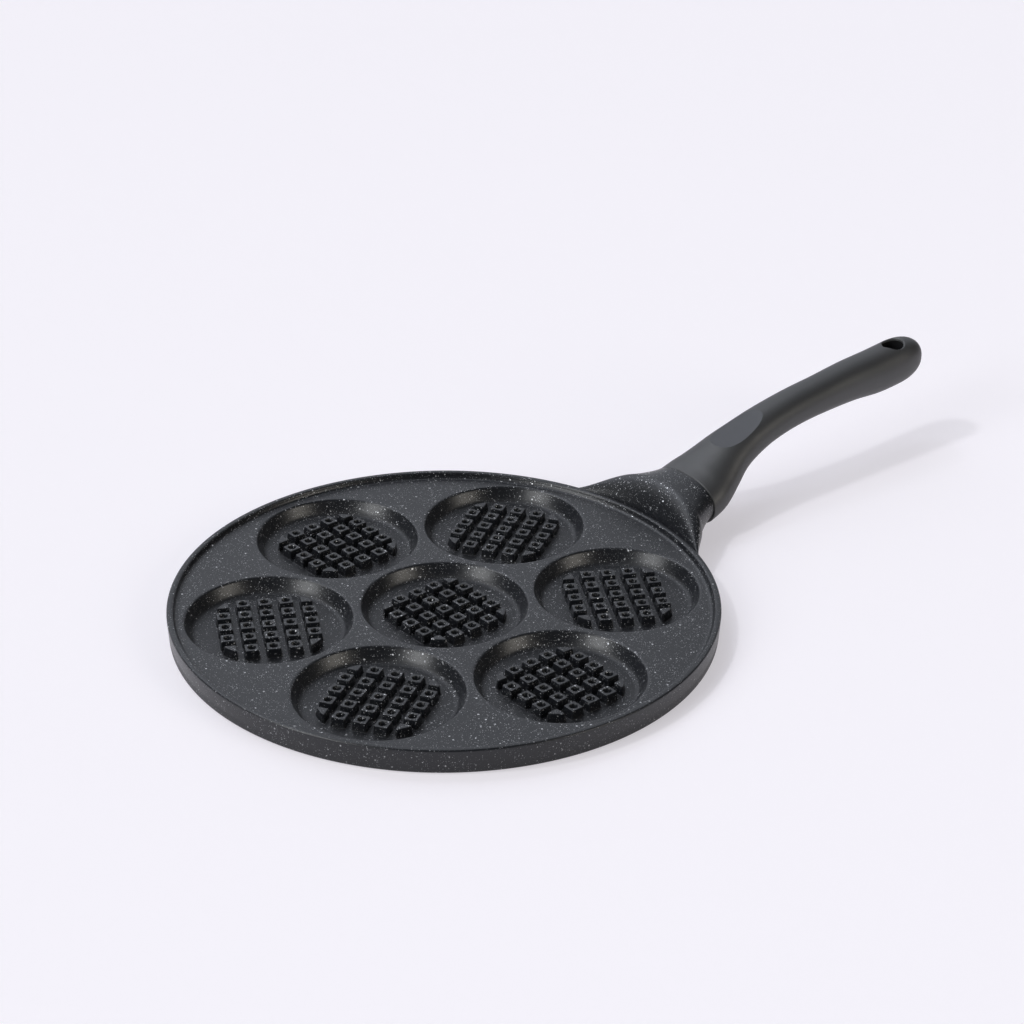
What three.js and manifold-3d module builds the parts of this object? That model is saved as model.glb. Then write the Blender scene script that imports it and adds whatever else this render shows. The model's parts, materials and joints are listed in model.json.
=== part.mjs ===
// A waffle pan with seven round cups: a die cast aluminium plate, hollow below, with a cast neck
// and tang, and a moulded handle that one screw holds on the tang.
// Lengths are in millimetres and angles in degrees. +Z is up and +X runs along the handle. The
// origin is the middle of the centre cup's foot, on the surface that the pan stands on.
import * as THREE from "three";
import { mergeGeometries, mergeVertices } from "three/addons/utils/BufferGeometryUtils.js";
import Module from "manifold-3d";

// Cups and plate
const cupMouthRadius = 40.9;
const cupDepth = 7.2;
const cupWallRun = 4; // how much smaller a cup is at its floor
const cupWeb = 4.2; // deck left between two cups
const cupFloorThickness = 2.9;
const cupWallThickness = 4.2;
const cupEdgeRound = 1.1;
const cupFloorFillet = 2.2;
const cupFootChamfer = 0.8;
const cupFootMargin = 1.3; // foot beyond the cup's floor
const ringCups = 6;
const rimMargin = 8.1; // from a cup's mouth to the plate's edge
const rimWidth = 3.4;
const rimRise = 2.9; // rim above the deck
const rimRound = 1.3;
const deckFillet = 2.4;
const deckThickness = 3.2;
const skirtThickness = 3.8;
const skirtTaper = 0.9;
const skirtLift = 0.5; // skirt above the cups' feet
const skirtEdgeRound = 0.7;

// Pegs of the waffle pattern
const pegsAcross = 5;
const pegPitch = 10.5;
const pegTopWidth = 6.2;
const pegBaseWidth = 9;
const pegHeight = 4.7;
const dimpleRadius = 1.7;
const dimpleDepth = 0.9;

// Neck
const neckReach = 25.3; // from the plate's edge to the seam with the handle
const neckCrestReach = 11.8; // from the plate's edge to the crest of the neck
const neckCrestDrop = 0.7; // crest below the seam's top
const neckCrestHalfWidth = 31.5;
const neckRootInset = 0.6; // foot of the steep face, inside the plate's edge
const neckRootHalfWidth = 50;
const neckRootLevel = 11.2; // height of the widest line
const neckRootBottom = 0.8;
const seamLevel = 16.1;
const seamHalfWidth = 22.4;
const seamHalfHeight = 12;
const spigotLength = 3;
const spigotInset = 4;

// Tang
const tangAngle = 27;
const tangLength = 36;
const tangRoot = 8; // length buried in the neck
const tangHalfWidth = 9;
const tangHalfThickness = 3.8;
const tangTipShare = 0.85;
const tangDrop = 1.2; // tang's start below the middle of the seam

// Handle
const gripLength = 171.6;
const gripRise = 29.7;
const gripMouthDrop = 1.2; // middle of the mouth below the middle of the seam
const gripMouthHalfWidth = 22.9;
const gripMouthHalfHeight = 12.8;
const gripWaistHalfWidth = 10.2;
const gripWaistHalfHeight = 8.9;
const gripTailHalfWidth = 11.4;
const gripTailHalfHeight = 12.05;
const gripTailRound = 18.6; // length of the rounded end
const thumbScoopRadius = 120;
const thumbScoopDepth = 2;
const hangHoleLength = 13.2;
const hangHoleRadius = 5.85;
const hangHoleInset = 12.5; // from the tail's tip to the hole

// Screw and washers
const screwInset = 17; // along the tang
const screwRadius = 2;
const screwHeadRadius = 3.8;
const screwHeadHeight = 2.6;
const screwHeadRound = 1.2;
const screwSlotWidth = 1.1;
const screwSlotLength = 4.4;
const screwSlotDepth = 1.4;
const screwEndInset = 1; // thread's end below the tang's far face
const washerRadius = 4;
const washerThickness = 0.9;
const springRadius = 3.6;
const springThickness = 1.1;
const springSplit = 0.9;
const counterboreRadius = 4.5;
const seatWeb = 2.6; // handle wall between the socket and the washers

// Fits
const fitGap = 0.3; // between pieces that touch
const socketEndGap = 0.8;
const overrun = 3; // how far a cut runs past what it cuts
const mergeTolerance = 1e-4;

// Facets
const plateSides = 64;
const cupSides = 32;
const ovalSides = 24;
const tangSides = 16;
const holeSides = 14;
const washerSides = 20;
const dimpleSides = 6;
const rollerSides = 120;
const roundSteps = 2;
const crownSteps = 4;
const frontSteps = 6;
const gripSteps = 18;
const tailSteps = 6;
const ovalPower = 2.2; // roundness of the neck's and handle's sections
const neckFlarePower = 1.55; // how late the neck widens towards its crest
const tangPower = 5;
const tailPower = 0.58; // roundness of the handle's end, fuller when smaller

// Shares along the handle, from the mouth to the tail: place, rise, mouth's weight, tail's weight
const gripShares = [
  [0, 0, 1, 0],
  [0.053, 0.108, 0.92, 0],
  [0.111, 0.303, 0.65, 0],
  [0.169, 0.508, 0.38, 0],
  [0.228, 0.647, 0.22, 0],
  [0.298, 0.772, 0.12, 0],
  [0.374, 0.862, 0.07, 0],
  [0.461, 0.927, 0.03, 0.1],
  [0.566, 0.965, 0, 0.28],
  [0.695, 0.999, 0, 0.63],
  [0.811, 0.99, 0, 1],
  [1, 1.067, 0, 1],
];
const tiltStartShare = 0.1; // the first sections turn from the upright seam to square with the handle
const thumbScoopShare = 0.242;

// Worked out from the sizes above
const cupSpacing = 2 * cupMouthRadius + cupWeb;
const cupFloorRadius = cupMouthRadius - cupWallRun;
const deckLevel = cupFloorThickness + cupDepth;
const deckUnderside = deckLevel - deckThickness;
const plateRadius = cupSpacing + cupMouthRadius + rimMargin;
const plateHeight = deckLevel + rimRise;
const skirtInnerRadius = plateRadius - skirtThickness;
const seamX = plateRadius + neckReach;
const gripStartX = seamX + fitGap;
const gripMouthLevel = seamLevel - gripMouthDrop;
const neckCrestRadius = plateRadius + neckCrestReach;
const neckRootRadius = plateRadius - neckRootInset;
const quarterTurn = Math.PI / 2;

const wasm = await Module();
wasm.setup();

// Turns a closed geometry into a solid that can be joined and cut.
function solid(geometry) {
  const bare = geometry.index ? geometry.toNonIndexed() : geometry.clone();
  bare.deleteAttribute("normal");
  bare.deleteAttribute("uv");
  const merged = mergeVertices(bare, mergeTolerance);
  const vertProperties = merged.attributes.position.array;
  const triVerts = new Uint32Array(merged.index.array);
  return new wasm.Manifold(new wasm.Mesh({ numProp: 3, vertProperties, triVerts }));
}

// Turns a solid back into a named mesh.
function piece(name, body, material) {
  const { vertProperties, triVerts } = body.getMesh();
  const geometry = new THREE.BufferGeometry();
  geometry.setAttribute("position", new THREE.BufferAttribute(vertProperties, 3));
  geometry.setIndex(new THREE.BufferAttribute(triVerts, 1));
  geometry.computeVertexNormals();
  const mesh = new THREE.Mesh(geometry, material);
  mesh.name = name;
  return mesh;
}

// Points of a profile from its corners, each [radius, height, rounding, steps]; a rounded corner
// is a quadratic curve that starts and ends one rounding away from the corner.
function outline(corners) {
  const points = [];
  corners.forEach(([radius, height, rounding = 0, steps = roundSteps], i) => {
    const corner = new THREE.Vector2(radius, height);
    if (rounding === 0) {
      points.push(corner);
      return;
    }
    const towards = ([x, y]) => new THREE.Vector2(x, y).sub(corner).setLength(rounding).add(corner);
    const start = towards(corners[i - 1]);
    const end = towards(corners[i + 1]);
    points.push(...new THREE.QuadraticBezierCurve(start, corner, end).getPoints(steps));
  });
  return points;
}

// Turns a profile about the Z axis.
function revolve(corners, sides) {
  return new THREE.LatheGeometry(outline(corners), sides).rotateX(Math.PI / 2);
}

// A ring of points on an oval whose height differs above and below its widest line.
function ovalRing({ centre, tilt = 0, halfWidth, above, below = above, power, sides }) {
  const up = new THREE.Vector3(-Math.sin(tilt), 0, Math.cos(tilt));
  const across = new THREE.Vector3(0, 1, 0);
  const bulge = (value) => Math.sign(value) * Math.abs(value) ** (2 / power);
  return Array.from({ length: sides }, (_, i) => {
    const turn = (2 * Math.PI * i) / sides;
    const rise = bulge(Math.sin(turn));
    return centre
      .clone()
      .addScaledVector(across, halfWidth * bulge(Math.cos(turn)))
      .addScaledVector(up, rise * (rise > 0 ? above : below));
  });
}

// A closed skin through rings that follow each other along +X, with a fan over each end. The last
// fan meets in the tip, or in the middle of its ring.
function loft(rings, tip) {
  const sides = rings[0].length;
  const middle = (ring) => ring.reduce((sum, p) => sum.add(p), new THREE.Vector3()).divideScalar(sides);
  const last = rings.length - 1;
  const points = [...rings.flat(), middle(rings[0]), tip ?? middle(rings[last])];
  const index = [];
  for (let j = 0; j < sides; j++) {
    const next = (j + 1) % sides;
    for (let i = 0; i < last; i++) {
      const [a, b] = [i * sides + j, i * sides + next];
      index.push(a, b, b + sides, a, b + sides, a + sides);
    }
    index.push(points.length - 2, next, j);
    index.push(points.length - 1, last * sides + j, last * sides + next);
  }
  return new THREE.BufferGeometry().setFromPoints(points).setIndex(index);
}

// Middles of the cups, each with the turn of its waffle pattern about the plate.
function cupPlaces() {
  const places = [{ x: 0, y: 0, turn: 0 }];
  for (let i = 0; i < ringCups; i++) {
    const turn = ((i + 1 / 2) * 2 * Math.PI) / ringCups;
    places.push({ x: cupSpacing * Math.cos(turn), y: cupSpacing * Math.sin(turn), turn });
  }
  return places;
}

// Deck, raised rim and skirt in one turned profile, open below.
function plateBody() {
  const rimInnerRadius = plateRadius - rimWidth;
  const skirtFootRadius = plateRadius - skirtTaper;
  return solid(
    revolve(
      [
        [0, deckUnderside],
        [skirtInnerRadius - skirtTaper, deckUnderside, skirtTaper],
        [skirtInnerRadius, skirtLift],
        [skirtFootRadius, skirtLift, skirtEdgeRound],
        [plateRadius, plateHeight, rimRound],
        [rimInnerRadius, plateHeight, rimRound],
        [rimInnerRadius - deckFillet / 2, deckLevel, deckFillet],
        [0, deckLevel],
      ],
      plateSides,
    ),
  );
}

// The outside of a cup below the deck, down to its flat foot.
function cupBody() {
  const footRadius = cupFloorRadius + cupFootMargin;
  const topLevel = deckLevel - deckThickness / 2;
  return revolve(
    [
      [0, 0],
      [footRadius - cupFootChamfer, 0],
      [footRadius, cupFootChamfer],
      [cupMouthRadius + cupWallThickness - cupWallRun / 2, topLevel],
      [0, topLevel],
    ],
    cupSides,
  );
}

// The hollow of a cup, with a filleted floor and a softened edge.
function cupHollow() {
  const edgeRadius = cupMouthRadius + cupEdgeRound;
  return revolve(
    [
      [0, cupFloorThickness],
      [cupFloorRadius, cupFloorThickness, cupFloorFillet, 1],
      [cupMouthRadius, deckLevel, cupEdgeRound],
      [edgeRadius, deckLevel],
      [edgeRadius, deckLevel + overrun],
      [0, deckLevel + overrun],
    ],
    cupSides,
  );
}

// The waffle pattern of one cup: tapered square pegs, dimpled on top, with the corner pegs cut
// by a circle through their middles.
function waffleGrid() {
  const rootLevel = cupFloorThickness - cupFloorThickness / 4;
  const pegTop = cupFloorThickness + pegHeight;
  const halfSpan = ((pegsAcross - 1) / 2) * pegPitch;
  const gridRadius = Math.hypot(halfSpan, halfSpan);
  const pegs = [];
  const dimples = [];
  for (let i = 0; i < pegsAcross; i++) {
    for (let j = 0; j < pegsAcross; j++) {
      const [x, y] = [i * pegPitch - halfSpan, j * pegPitch - halfSpan];
      const baseReach = pegBaseWidth / Math.SQRT2;
      const corners = [
        [0, rootLevel],
        [baseReach, rootLevel],
        [baseReach, cupFloorThickness],
        [pegTopWidth / Math.SQRT2, pegTop],
        [0, pegTop],
      ];
      pegs.push(revolve(corners, 4).rotateZ(Math.PI / 4).translate(x, y, 0));
      if (Math.hypot(x, y) + pegTopWidth / 2 > gridRadius) continue;
      const dimple = [
        [0, pegTop - dimpleDepth],
        [dimpleRadius, pegTop],
        [dimpleRadius, pegTop + overrun],
        [0, pegTop + overrun],
      ];
      dimples.push(revolve(dimple, dimpleSides).translate(x, y, 0));
    }
  }
  const clip = revolve(
    [
      [0, 0],
      [gridRadius + (pegBaseWidth - pegTopWidth) / 2, 0],
      [gridRadius + (pegBaseWidth - pegTopWidth) / 2, cupFloorThickness],
      [gridRadius, pegTop],
      [gridRadius, pegTop + overrun],
      [0, pegTop + overrun],
    ],
    cupSides,
  );
  return solid(mergeGeometries(pegs)).subtract(solid(mergeGeometries(dimples))).intersect(solid(clip));
}

// One section of the neck at a distance from the pan's middle: an oval that bends from flat at the
// seam to the round of the rim.
function neckRing({ radius, halfWidth, top, bend }) {
  const place = (seamX - radius) / (seamX - neckRootRadius);
  const level = seamLevel + (neckRootLevel - seamLevel) * place;
  const seamBottom = seamLevel - seamHalfHeight;
  const bottom = seamBottom + (neckRootBottom - seamBottom) * place;
  const ring = ovalRing({
    centre: new THREE.Vector3(radius, 0, level),
    halfWidth,
    above: top - level,
    below: level - bottom,
    power: ovalPower,
    sides: ovalSides,
  });
  for (const point of ring) point.x += bend * (Math.sqrt(radius ** 2 - point.y ** 2) - radius);
  return ring;
}

// The flared neck: a crown that widens from the seam to the crest, and a steep quarter round face
// that falls from the crest to the rim.
function neckBody() {
  const seamTop = seamLevel + seamHalfHeight;
  const crest = seamTop - neckCrestDrop;
  const foot = plateHeight - rimRound;
  const rings = [];
  for (let i = 0; i < crownSteps; i++) {
    const share = i / crownSteps;
    rings.push(
      neckRing({
        radius: seamX + (neckCrestRadius - seamX) * share,
        halfWidth: seamHalfWidth + (neckCrestHalfWidth - seamHalfWidth) * share ** neckFlarePower,
        top: seamTop - neckCrestDrop * Math.sin(quarterTurn * share),
        bend: THREE.MathUtils.smoothstep(share, 0, 1),
      }),
    );
  }
  for (let i = 0; i <= frontSteps; i++) {
    const share = i / frontSteps;
    rings.push(
      neckRing({
        radius: neckCrestRadius + (neckRootRadius - neckCrestRadius) * Math.sin(quarterTurn * share),
        halfWidth: neckCrestHalfWidth + (neckRootHalfWidth - neckCrestHalfWidth) * share,
        top: foot + (crest - foot) * Math.cos(quarterTurn * share),
        bend: 1,
      }),
    );
  }
  rings.push(neckRing({ radius: skirtInnerRadius, halfWidth: neckRootHalfWidth, top: foot, bend: 1 }));
  const buried = plateRadius - skirtThickness / 2;
  const inside = [
    [0, -overrun],
    [buried, -overrun],
    [buried, crest + overrun],
    [0, crest + overrun],
  ];
  return solid(loft(rings.reverse())).subtract(solid(revolve(inside, plateSides)));
}

// The spigot that seats in the handle's mouth, or with a clearance the recess for it.
function spigot(clearance) {
  const ring = (x) =>
    ovalRing({
      centre: new THREE.Vector3(x, 0, gripMouthLevel),
      halfWidth: seamHalfWidth - spigotInset + clearance,
      above: seamHalfHeight - spigotInset + clearance,
      power: ovalPower,
      sides: ovalSides,
    });
  return solid(loft([ring(seamX - spigotLength), ring(seamX + spigotLength + clearance)]));
}

// Carries a geometry from the tang's own frame, X along it and Z across it, to the part's frame.
const tangFrame = new THREE.Group();
tangFrame.position.set(seamX, 0, seamLevel - tangDrop);
tangFrame.rotation.y = -THREE.MathUtils.degToRad(tangAngle);
tangFrame.updateMatrixWorld(true);
const onTang = (geometry) => solid(geometry.applyMatrix4(tangFrame.matrixWorld));

// The tapered bar that carries the handle, or with clearances the socket for it.
function tang(clearance, endClearance) {
  const ring = (x, share) =>
    ovalRing({
      centre: new THREE.Vector3(x, 0, 0),
      halfWidth: tangHalfWidth * share + clearance,
      above: tangHalfThickness * share + clearance,
      power: tangPower,
      sides: tangSides,
    });
  return onTang(loft([ring(-tangRoot, 1), ring(tangLength + endClearance, tangTipShare)]));
}

// A round hole or counterbore square to the tang, between two heights in the tang's frame.
function tangBore(radius, from, to) {
  const corners = [[0, from], [radius, from], [radius, to], [0, to]];
  return onTang(revolve(corners, holeSides).translate(screwInset, 0, 0));
}

// The whole casting: plate, cups, pegs, neck and tang, in one metal.
function panCasting(material) {
  let body = plateBody();
  const places = cupPlaces();
  for (const { x, y } of places) body = body.add(solid(cupBody().translate(x, y, 0)));
  for (const { x, y } of places) body = body.subtract(solid(cupHollow().translate(x, y, 0)));
  const grid = waffleGrid();
  for (const { x, y, turn } of places) {
    body = body.add(grid.rotate([0, 0, THREE.MathUtils.radToDeg(turn)]).translate([x, y, 0]));
  }
  const bore = tangBore(screwRadius + fitGap, -tangHalfThickness - overrun, tangHalfThickness + overrun);
  const bar = spigot(0).add(tang(0, 0)).subtract(bore);
  return piece("pan_casting", body.add(neckBody()).add(bar), material);
}

// Middle line and section of the handle at a share of its length.
const gripRow = new THREE.CubicInterpolant(
  gripShares.map(([place]) => place),
  gripShares.flatMap(([, ...row]) => row),
  gripShares[0].length - 1,
);

function gripStation(share) {
  const [rise, mouth, tail] = gripRow.evaluate(share);
  const waist = 1 - mouth - tail;
  return {
    x: gripStartX + gripLength * share,
    z: gripMouthLevel + gripRise * rise,
    halfWidth: gripMouthHalfWidth * mouth + gripWaistHalfWidth * waist + gripTailHalfWidth * tail,
    halfHeight: gripMouthHalfHeight * mouth + gripWaistHalfHeight * waist + gripTailHalfHeight * tail,
  };
}

// Slope of the handle's middle line, as an angle.
function gripSlope(share) {
  const step = 1 / gripLength;
  const [before, after] = [gripStation(Math.max(share - step, 0)), gripStation(Math.min(share + step, 1))];
  return Math.atan2(after.z - before.z, after.x - before.x);
}

// The outer form of the handle: ovals along its middle line, closed by a rounded tail.
function gripBody() {
  const tailShare = 1 - gripTailRound / gripLength;
  const ring = (share, size) => {
    const { x, z, halfWidth, halfHeight } = gripStation(share);
    const turned = Math.min(share / tiltStartShare, 1) * Math.min((1 - share) / (1 - tailShare), 1);
    return ovalRing({
      centre: new THREE.Vector3(x, 0, z),
      tilt: gripSlope(share) * turned,
      halfWidth: halfWidth * size,
      above: halfHeight * size,
      power: ovalPower,
      sides: ovalSides,
    });
  };
  const rings = [];
  for (let i = 0; i < gripSteps; i++) rings.push(ring((tailShare * i) / gripSteps, 1));
  for (let i = 0; i < tailSteps; i++) {
    const turn = quarterTurn * (i / tailSteps);
    rings.push(ring(tailShare + (1 - tailShare) * Math.sin(turn), Math.cos(turn) ** tailPower));
  }
  const tip = gripStation(1);
  return loft(rings, new THREE.Vector3(tip.x, 0, tip.z));
}

// A large roller laid across the top of the handle, which leaves the oval thumb rest.
function thumbScoop() {
  const { x, z, halfHeight } = gripStation(thumbScoopShare);
  const slope = gripSlope(thumbScoopShare);
  const reach = halfHeight - thumbScoopDepth + thumbScoopRadius;
  const roller = new THREE.CylinderGeometry(
    thumbScoopRadius,
    thumbScoopRadius,
    2 * gripMouthHalfWidth,
    rollerSides,
  );
  return roller.translate(x - reach * Math.sin(slope), 0, z + reach * Math.cos(slope));
}

// The drop shaped hanging hole, its point towards the pan: a round end and two straight sides.
function hangHole(from, to) {
  const middle = gripStartX + gripLength - hangHoleInset - hangHoleRadius;
  const point = hangHoleLength - hangHoleRadius;
  const touch = Math.acos(hangHoleRadius / point);
  const shape = new THREE.Shape();
  shape.moveTo(middle - point, 0);
  shape.absarc(middle, 0, hangHoleRadius, Math.PI + touch, 3 * Math.PI - touch, false);
  shape.closePath();
  const settings = { depth: to - from, bevelEnabled: false, curveSegments: holeSides };
  return new THREE.ExtrudeGeometry(shape, settings).translate(0, 0, from);
}

// The moulded handle with its mouth recess, tang socket, screw hole, thumb rest and hanging hole.
function handleGrip(material) {
  const seat = -tangHalfThickness - fitGap - seatWeb;
  const below = -gripMouthHalfHeight - overrun - tangHalfWidth;
  const top = gripStation(1).z + gripTailHalfHeight + overrun;
  const body = solid(gripBody())
    .subtract(spigot(fitGap))
    .subtract(tang(fitGap, socketEndGap))
    .subtract(tangBore(screwRadius + fitGap, seat - overrun, 0))
    .subtract(tangBore(counterboreRadius, below, seat))
    .subtract(solid(thumbScoop()))
    .subtract(solid(hangHole(0, top)));
  return piece("handle_grip", body, material);
}

// The screw, with its head down in the counterbore and a cross recess in the head.
function handleScrew(material) {
  const seat = -tangHalfThickness - 2 * fitGap - seatWeb;
  const headTop = seat - washerThickness - springThickness - 2 * fitGap;
  const headEnd = headTop - screwHeadHeight;
  const corners = [
    [0, headEnd],
    [screwHeadRadius, headEnd, screwHeadRound],
    [screwHeadRadius, headTop],
    [screwRadius, headTop],
    [screwRadius, tangHalfThickness - screwEndInset],
    [0, tangHalfThickness - screwEndInset],
  ];
  const slot = (length, width) =>
    solid(new THREE.BoxGeometry(length, width, 2 * screwSlotDepth).translate(0, 0, headEnd));
  const cross = slot(screwSlotLength, screwSlotWidth).add(slot(screwSlotWidth, screwSlotLength));
  const mesh = piece("handle_screw", solid(revolve(corners, holeSides)).subtract(cross), material);
  mesh.position.x = screwInset;
  return mesh;
}

// The flat washer against the handle.
function flatWasher(material) {
  const top = -tangHalfThickness - 2 * fitGap - seatWeb;
  const bore = screwRadius + fitGap;
  const corners = [
    [bore, top - washerThickness],
    [washerRadius, top - washerThickness],
    [washerRadius, top],
    [bore, top],
    [bore, top - washerThickness],
  ];
  const mesh = piece("flat_washer", solid(revolve(corners, washerSides)), material);
  mesh.position.x = screwInset;
  return mesh;
}

// The split spring washer between the flat washer and the screw's head.
function springWasher(material) {
  const top = -tangHalfThickness - 3 * fitGap - seatWeb - washerThickness;
  const bore = screwRadius + fitGap;
  const corners = [
    [bore, top - springThickness],
    [springRadius, top - springThickness],
    [springRadius, top],
    [bore, top],
    [bore, top - springThickness],
  ];
  const split = new THREE.BoxGeometry(2 * springRadius, springSplit, springThickness + 2 * overrun);
  split.translate(springRadius, 0, top);
  const mesh = piece("spring_washer", solid(revolve(corners, washerSides)).subtract(solid(split)), material);
  mesh.position.x = screwInset;
  return mesh;
}

const coatedAluminium = new THREE.MeshStandardMaterial({ color: 0x3d3e41, roughness: 0.5, metalness: 0.3 });
const blackPhenolic = new THREE.MeshStandardMaterial({ color: 0x2c2d2e, roughness: 0.55, metalness: 0 });
const platedSteel = new THREE.MeshStandardMaterial({ color: 0xb9babd, roughness: 0.35, metalness: 1 });

const pan = new THREE.Group();
tangFrame.add(handleScrew(platedSteel), flatWasher(platedSteel), springWasher(platedSteel));
pan.add(panCasting(coatedAluminium), handleGrip(blackPhenolic), tangFrame);

export default pan;
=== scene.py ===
"""Looks for a waffle pan with seven round cups, a flared neck and a moulded handle.

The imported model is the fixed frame. Fine skins, worked out from the same sizes as the solids, stand
for the casting, the handle, the screw and the two washers. Sizes are in millimetres in the classes
and become metres when a mesh is made. +X runs along the handle, +Z is up, and the origin is the
middle of the centre cup's foot.
"""

import json
import logging
import math
from collections.abc import Iterator, Sequence
from contextlib import contextmanager
from dataclasses import dataclass, field
from enum import Enum

import bmesh
import bpy
import numpy as np
from mathutils import Matrix, Vector
from mathutils.bvhtree import BVHTree
from mathutils.geometry import delaunay_2d_cdt

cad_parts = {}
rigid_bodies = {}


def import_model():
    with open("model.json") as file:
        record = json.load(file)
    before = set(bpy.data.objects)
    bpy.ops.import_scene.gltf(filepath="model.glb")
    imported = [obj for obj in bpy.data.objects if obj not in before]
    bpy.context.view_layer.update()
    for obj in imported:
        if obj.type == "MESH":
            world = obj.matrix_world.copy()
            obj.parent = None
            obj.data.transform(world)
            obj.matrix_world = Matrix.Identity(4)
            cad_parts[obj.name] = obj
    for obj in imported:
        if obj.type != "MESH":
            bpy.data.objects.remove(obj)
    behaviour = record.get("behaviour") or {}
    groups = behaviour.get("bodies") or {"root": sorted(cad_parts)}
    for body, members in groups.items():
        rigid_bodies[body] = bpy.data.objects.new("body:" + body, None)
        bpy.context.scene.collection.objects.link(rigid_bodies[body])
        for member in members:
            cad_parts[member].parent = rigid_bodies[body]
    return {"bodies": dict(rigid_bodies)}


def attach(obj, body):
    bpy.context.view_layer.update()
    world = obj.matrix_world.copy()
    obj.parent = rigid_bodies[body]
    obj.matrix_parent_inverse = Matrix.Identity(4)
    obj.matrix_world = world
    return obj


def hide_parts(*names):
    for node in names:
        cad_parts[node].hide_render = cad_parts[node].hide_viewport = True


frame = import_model()

logging.basicConfig(level=logging.INFO, format="%(message)s")
log = logging.getLogger("waffle_pan")

MILLIMETRE = 0.001
WELD = 2e-6
FILL_TOLERANCE = 1e-5
NEARLY_NOTHING = 1e-6

Table = Sequence[tuple[float, ...]]
Spot = tuple[float, float]
Colour = tuple[float, float, float]
Piece = bpy.types.Object
Socket = bpy.types.NodeSocket


class Join(Enum):
    """How one solid acts on another."""

    ADD = "UNION"
    CUT = "DIFFERENCE"


class Slot(Enum):
    """The record's material slots."""

    COATING = "coated_aluminium"
    MOULDING = "moulded_phenolic"
    PLATING = "plated_steel"


def course(table: Table, at: np.ndarray) -> np.ndarray:
    """Follows a smooth curve through a table of stations.

    Between two stations the curve is a cubic, and its slope at a station is the mean of the
    straight slopes before and after it.

    Args:
        table: Rows of a place and its values, in the order of the places.
        at: The places where the values are wanted.

    Returns:
        One row of values for each place.
    """
    rows = np.array(table, float)
    places, values = rows[:, 0], rows[:, 1:]
    straight = np.diff(values, axis=0) / np.diff(places)[:, None]
    slopes = np.vstack([straight[:1], (straight[1:] + straight[:-1]) / 2, straight[-1:]])
    start = np.clip(np.searchsorted(places, at, side="right") - 1, 0, len(places) - 2)
    step = (places[start + 1] - places[start])[:, None]
    share = (np.asarray(at, float) - places[start])[:, None] / step
    square, cube = share**2, share**3
    return (
        (2 * cube - 3 * square + 1) * values[start]
        + (cube - 2 * square + share) * step * slopes[start]
        + (3 * square - 2 * cube) * values[start + 1]
        + (cube - square) * step * slopes[start + 1]
    )


def eased(corners: Table, steps: int) -> np.ndarray:
    """Draws an outline whose corners are eased.

    An eased corner is the quadratic curve (1 - t)^2 start + 2 t (1 - t) corner + t^2 end, which
    leaves the two sides one setback away from the corner.

    Args:
        corners: Rows of radius, height and setback; a setback of zero keeps the corner.
        steps: How many stretches each eased corner has.

    Returns:
        The outline's points, one row of radius and height each.
    """
    rows = np.array(corners, float)
    t = np.linspace(0, 1, steps + 1)[:, None]
    points = []
    for i, (radius, height, setback) in enumerate(rows):
        corner = np.array([radius, height])
        if setback == 0:
            points.append(corner[None])
            continue
        ends = [rows[i - 1, :2] - corner, rows[i + 1, :2] - corner]
        start, end = (corner + setback * side / np.linalg.norm(side) for side in ends)
        points.append((1 - t) ** 2 * start + 2 * t * (1 - t) * corner + t**2 * end)
    return np.vstack(points)


def around(sides: int) -> np.ndarray:
    """Gives the angles of points that go evenly round a circle."""
    return np.arange(sides) * 2 * np.pi / sides


def xyz(x: np.ndarray | float, y: np.ndarray | float, z: np.ndarray | float) -> np.ndarray:
    """Makes points of coordinates, each an array or one number for all."""
    return np.stack(np.broadcast_arrays(x, y, z), axis=-1)


def turned(outline: np.ndarray, sides: int, centre: Spot = (0, 0)) -> np.ndarray:
    """Turns an outline about an upright axis.

    The point at angle a is (centre + radius cos a, centre + radius sin a, height).

    Args:
        outline: Rows of radius and height.
        sides: How many points go round.
        centre: Where the axis stands.

    Returns:
        A grid of points, one row for each point of the outline.
    """
    angle, radius, height = around(sides), outline[:, :1], outline[:, 1:]
    return xyz(centre[0] + radius * np.cos(angle), centre[1] + radius * np.sin(angle), height)


def spin(turn: float) -> np.ndarray:
    """Gives the matrix that turns rows of points about the Z axis."""
    cosine, sine = math.cos(turn), math.sin(turn)
    return np.array([[cosine, sine, 0], [-sine, cosine, 0], [0, 0, 1]])


def bulge(value: np.ndarray, power: float) -> np.ndarray:
    """Carries a sine or cosine to the side of an oval: its sign times its size to 2 / power."""
    return np.sign(value) * np.abs(value) ** (2 / power)


def oval(
    sides: int, half_width: np.ndarray | float, half_height: np.ndarray | float, power: float
) -> tuple[np.ndarray, np.ndarray]:
    """Gives the lateral places and the heights of an oval's points.

    At an angle a they are half_width bulge(cos a) and half_height bulge(sin a).

    Args:
        sides: How many points go round.
        half_width: Half the oval's width.
        half_height: Half its height.
        power: 2 for an ellipse, and more for fuller corners.

    Returns:
        The lateral places and the heights.
    """
    turn = around(sides)
    return half_width * bulge(np.cos(turn), power), half_height * bulge(np.sin(turn), power)


def linked(name: str, data: bpy.types.ID) -> Piece:
    """Makes an object and links it to the scene.

    Args:
        name: The object's name.
        data: Its mesh, lamp or lens.

    Returns:
        The object.
    """
    made = bpy.data.objects.new(name, data)
    bpy.context.scene.collection.objects.link(made)
    return made


@contextmanager
def editing(mesh: bpy.types.Mesh) -> Iterator[bmesh.types.BMesh]:
    """Opens a mesh for changes and writes them back.

    Args:
        mesh: The mesh.

    Yields:
        The mesh in a form that can be changed.
    """
    work = bmesh.new()
    work.from_mesh(mesh)
    yield work
    work.to_mesh(mesh)
    work.free()


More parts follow.
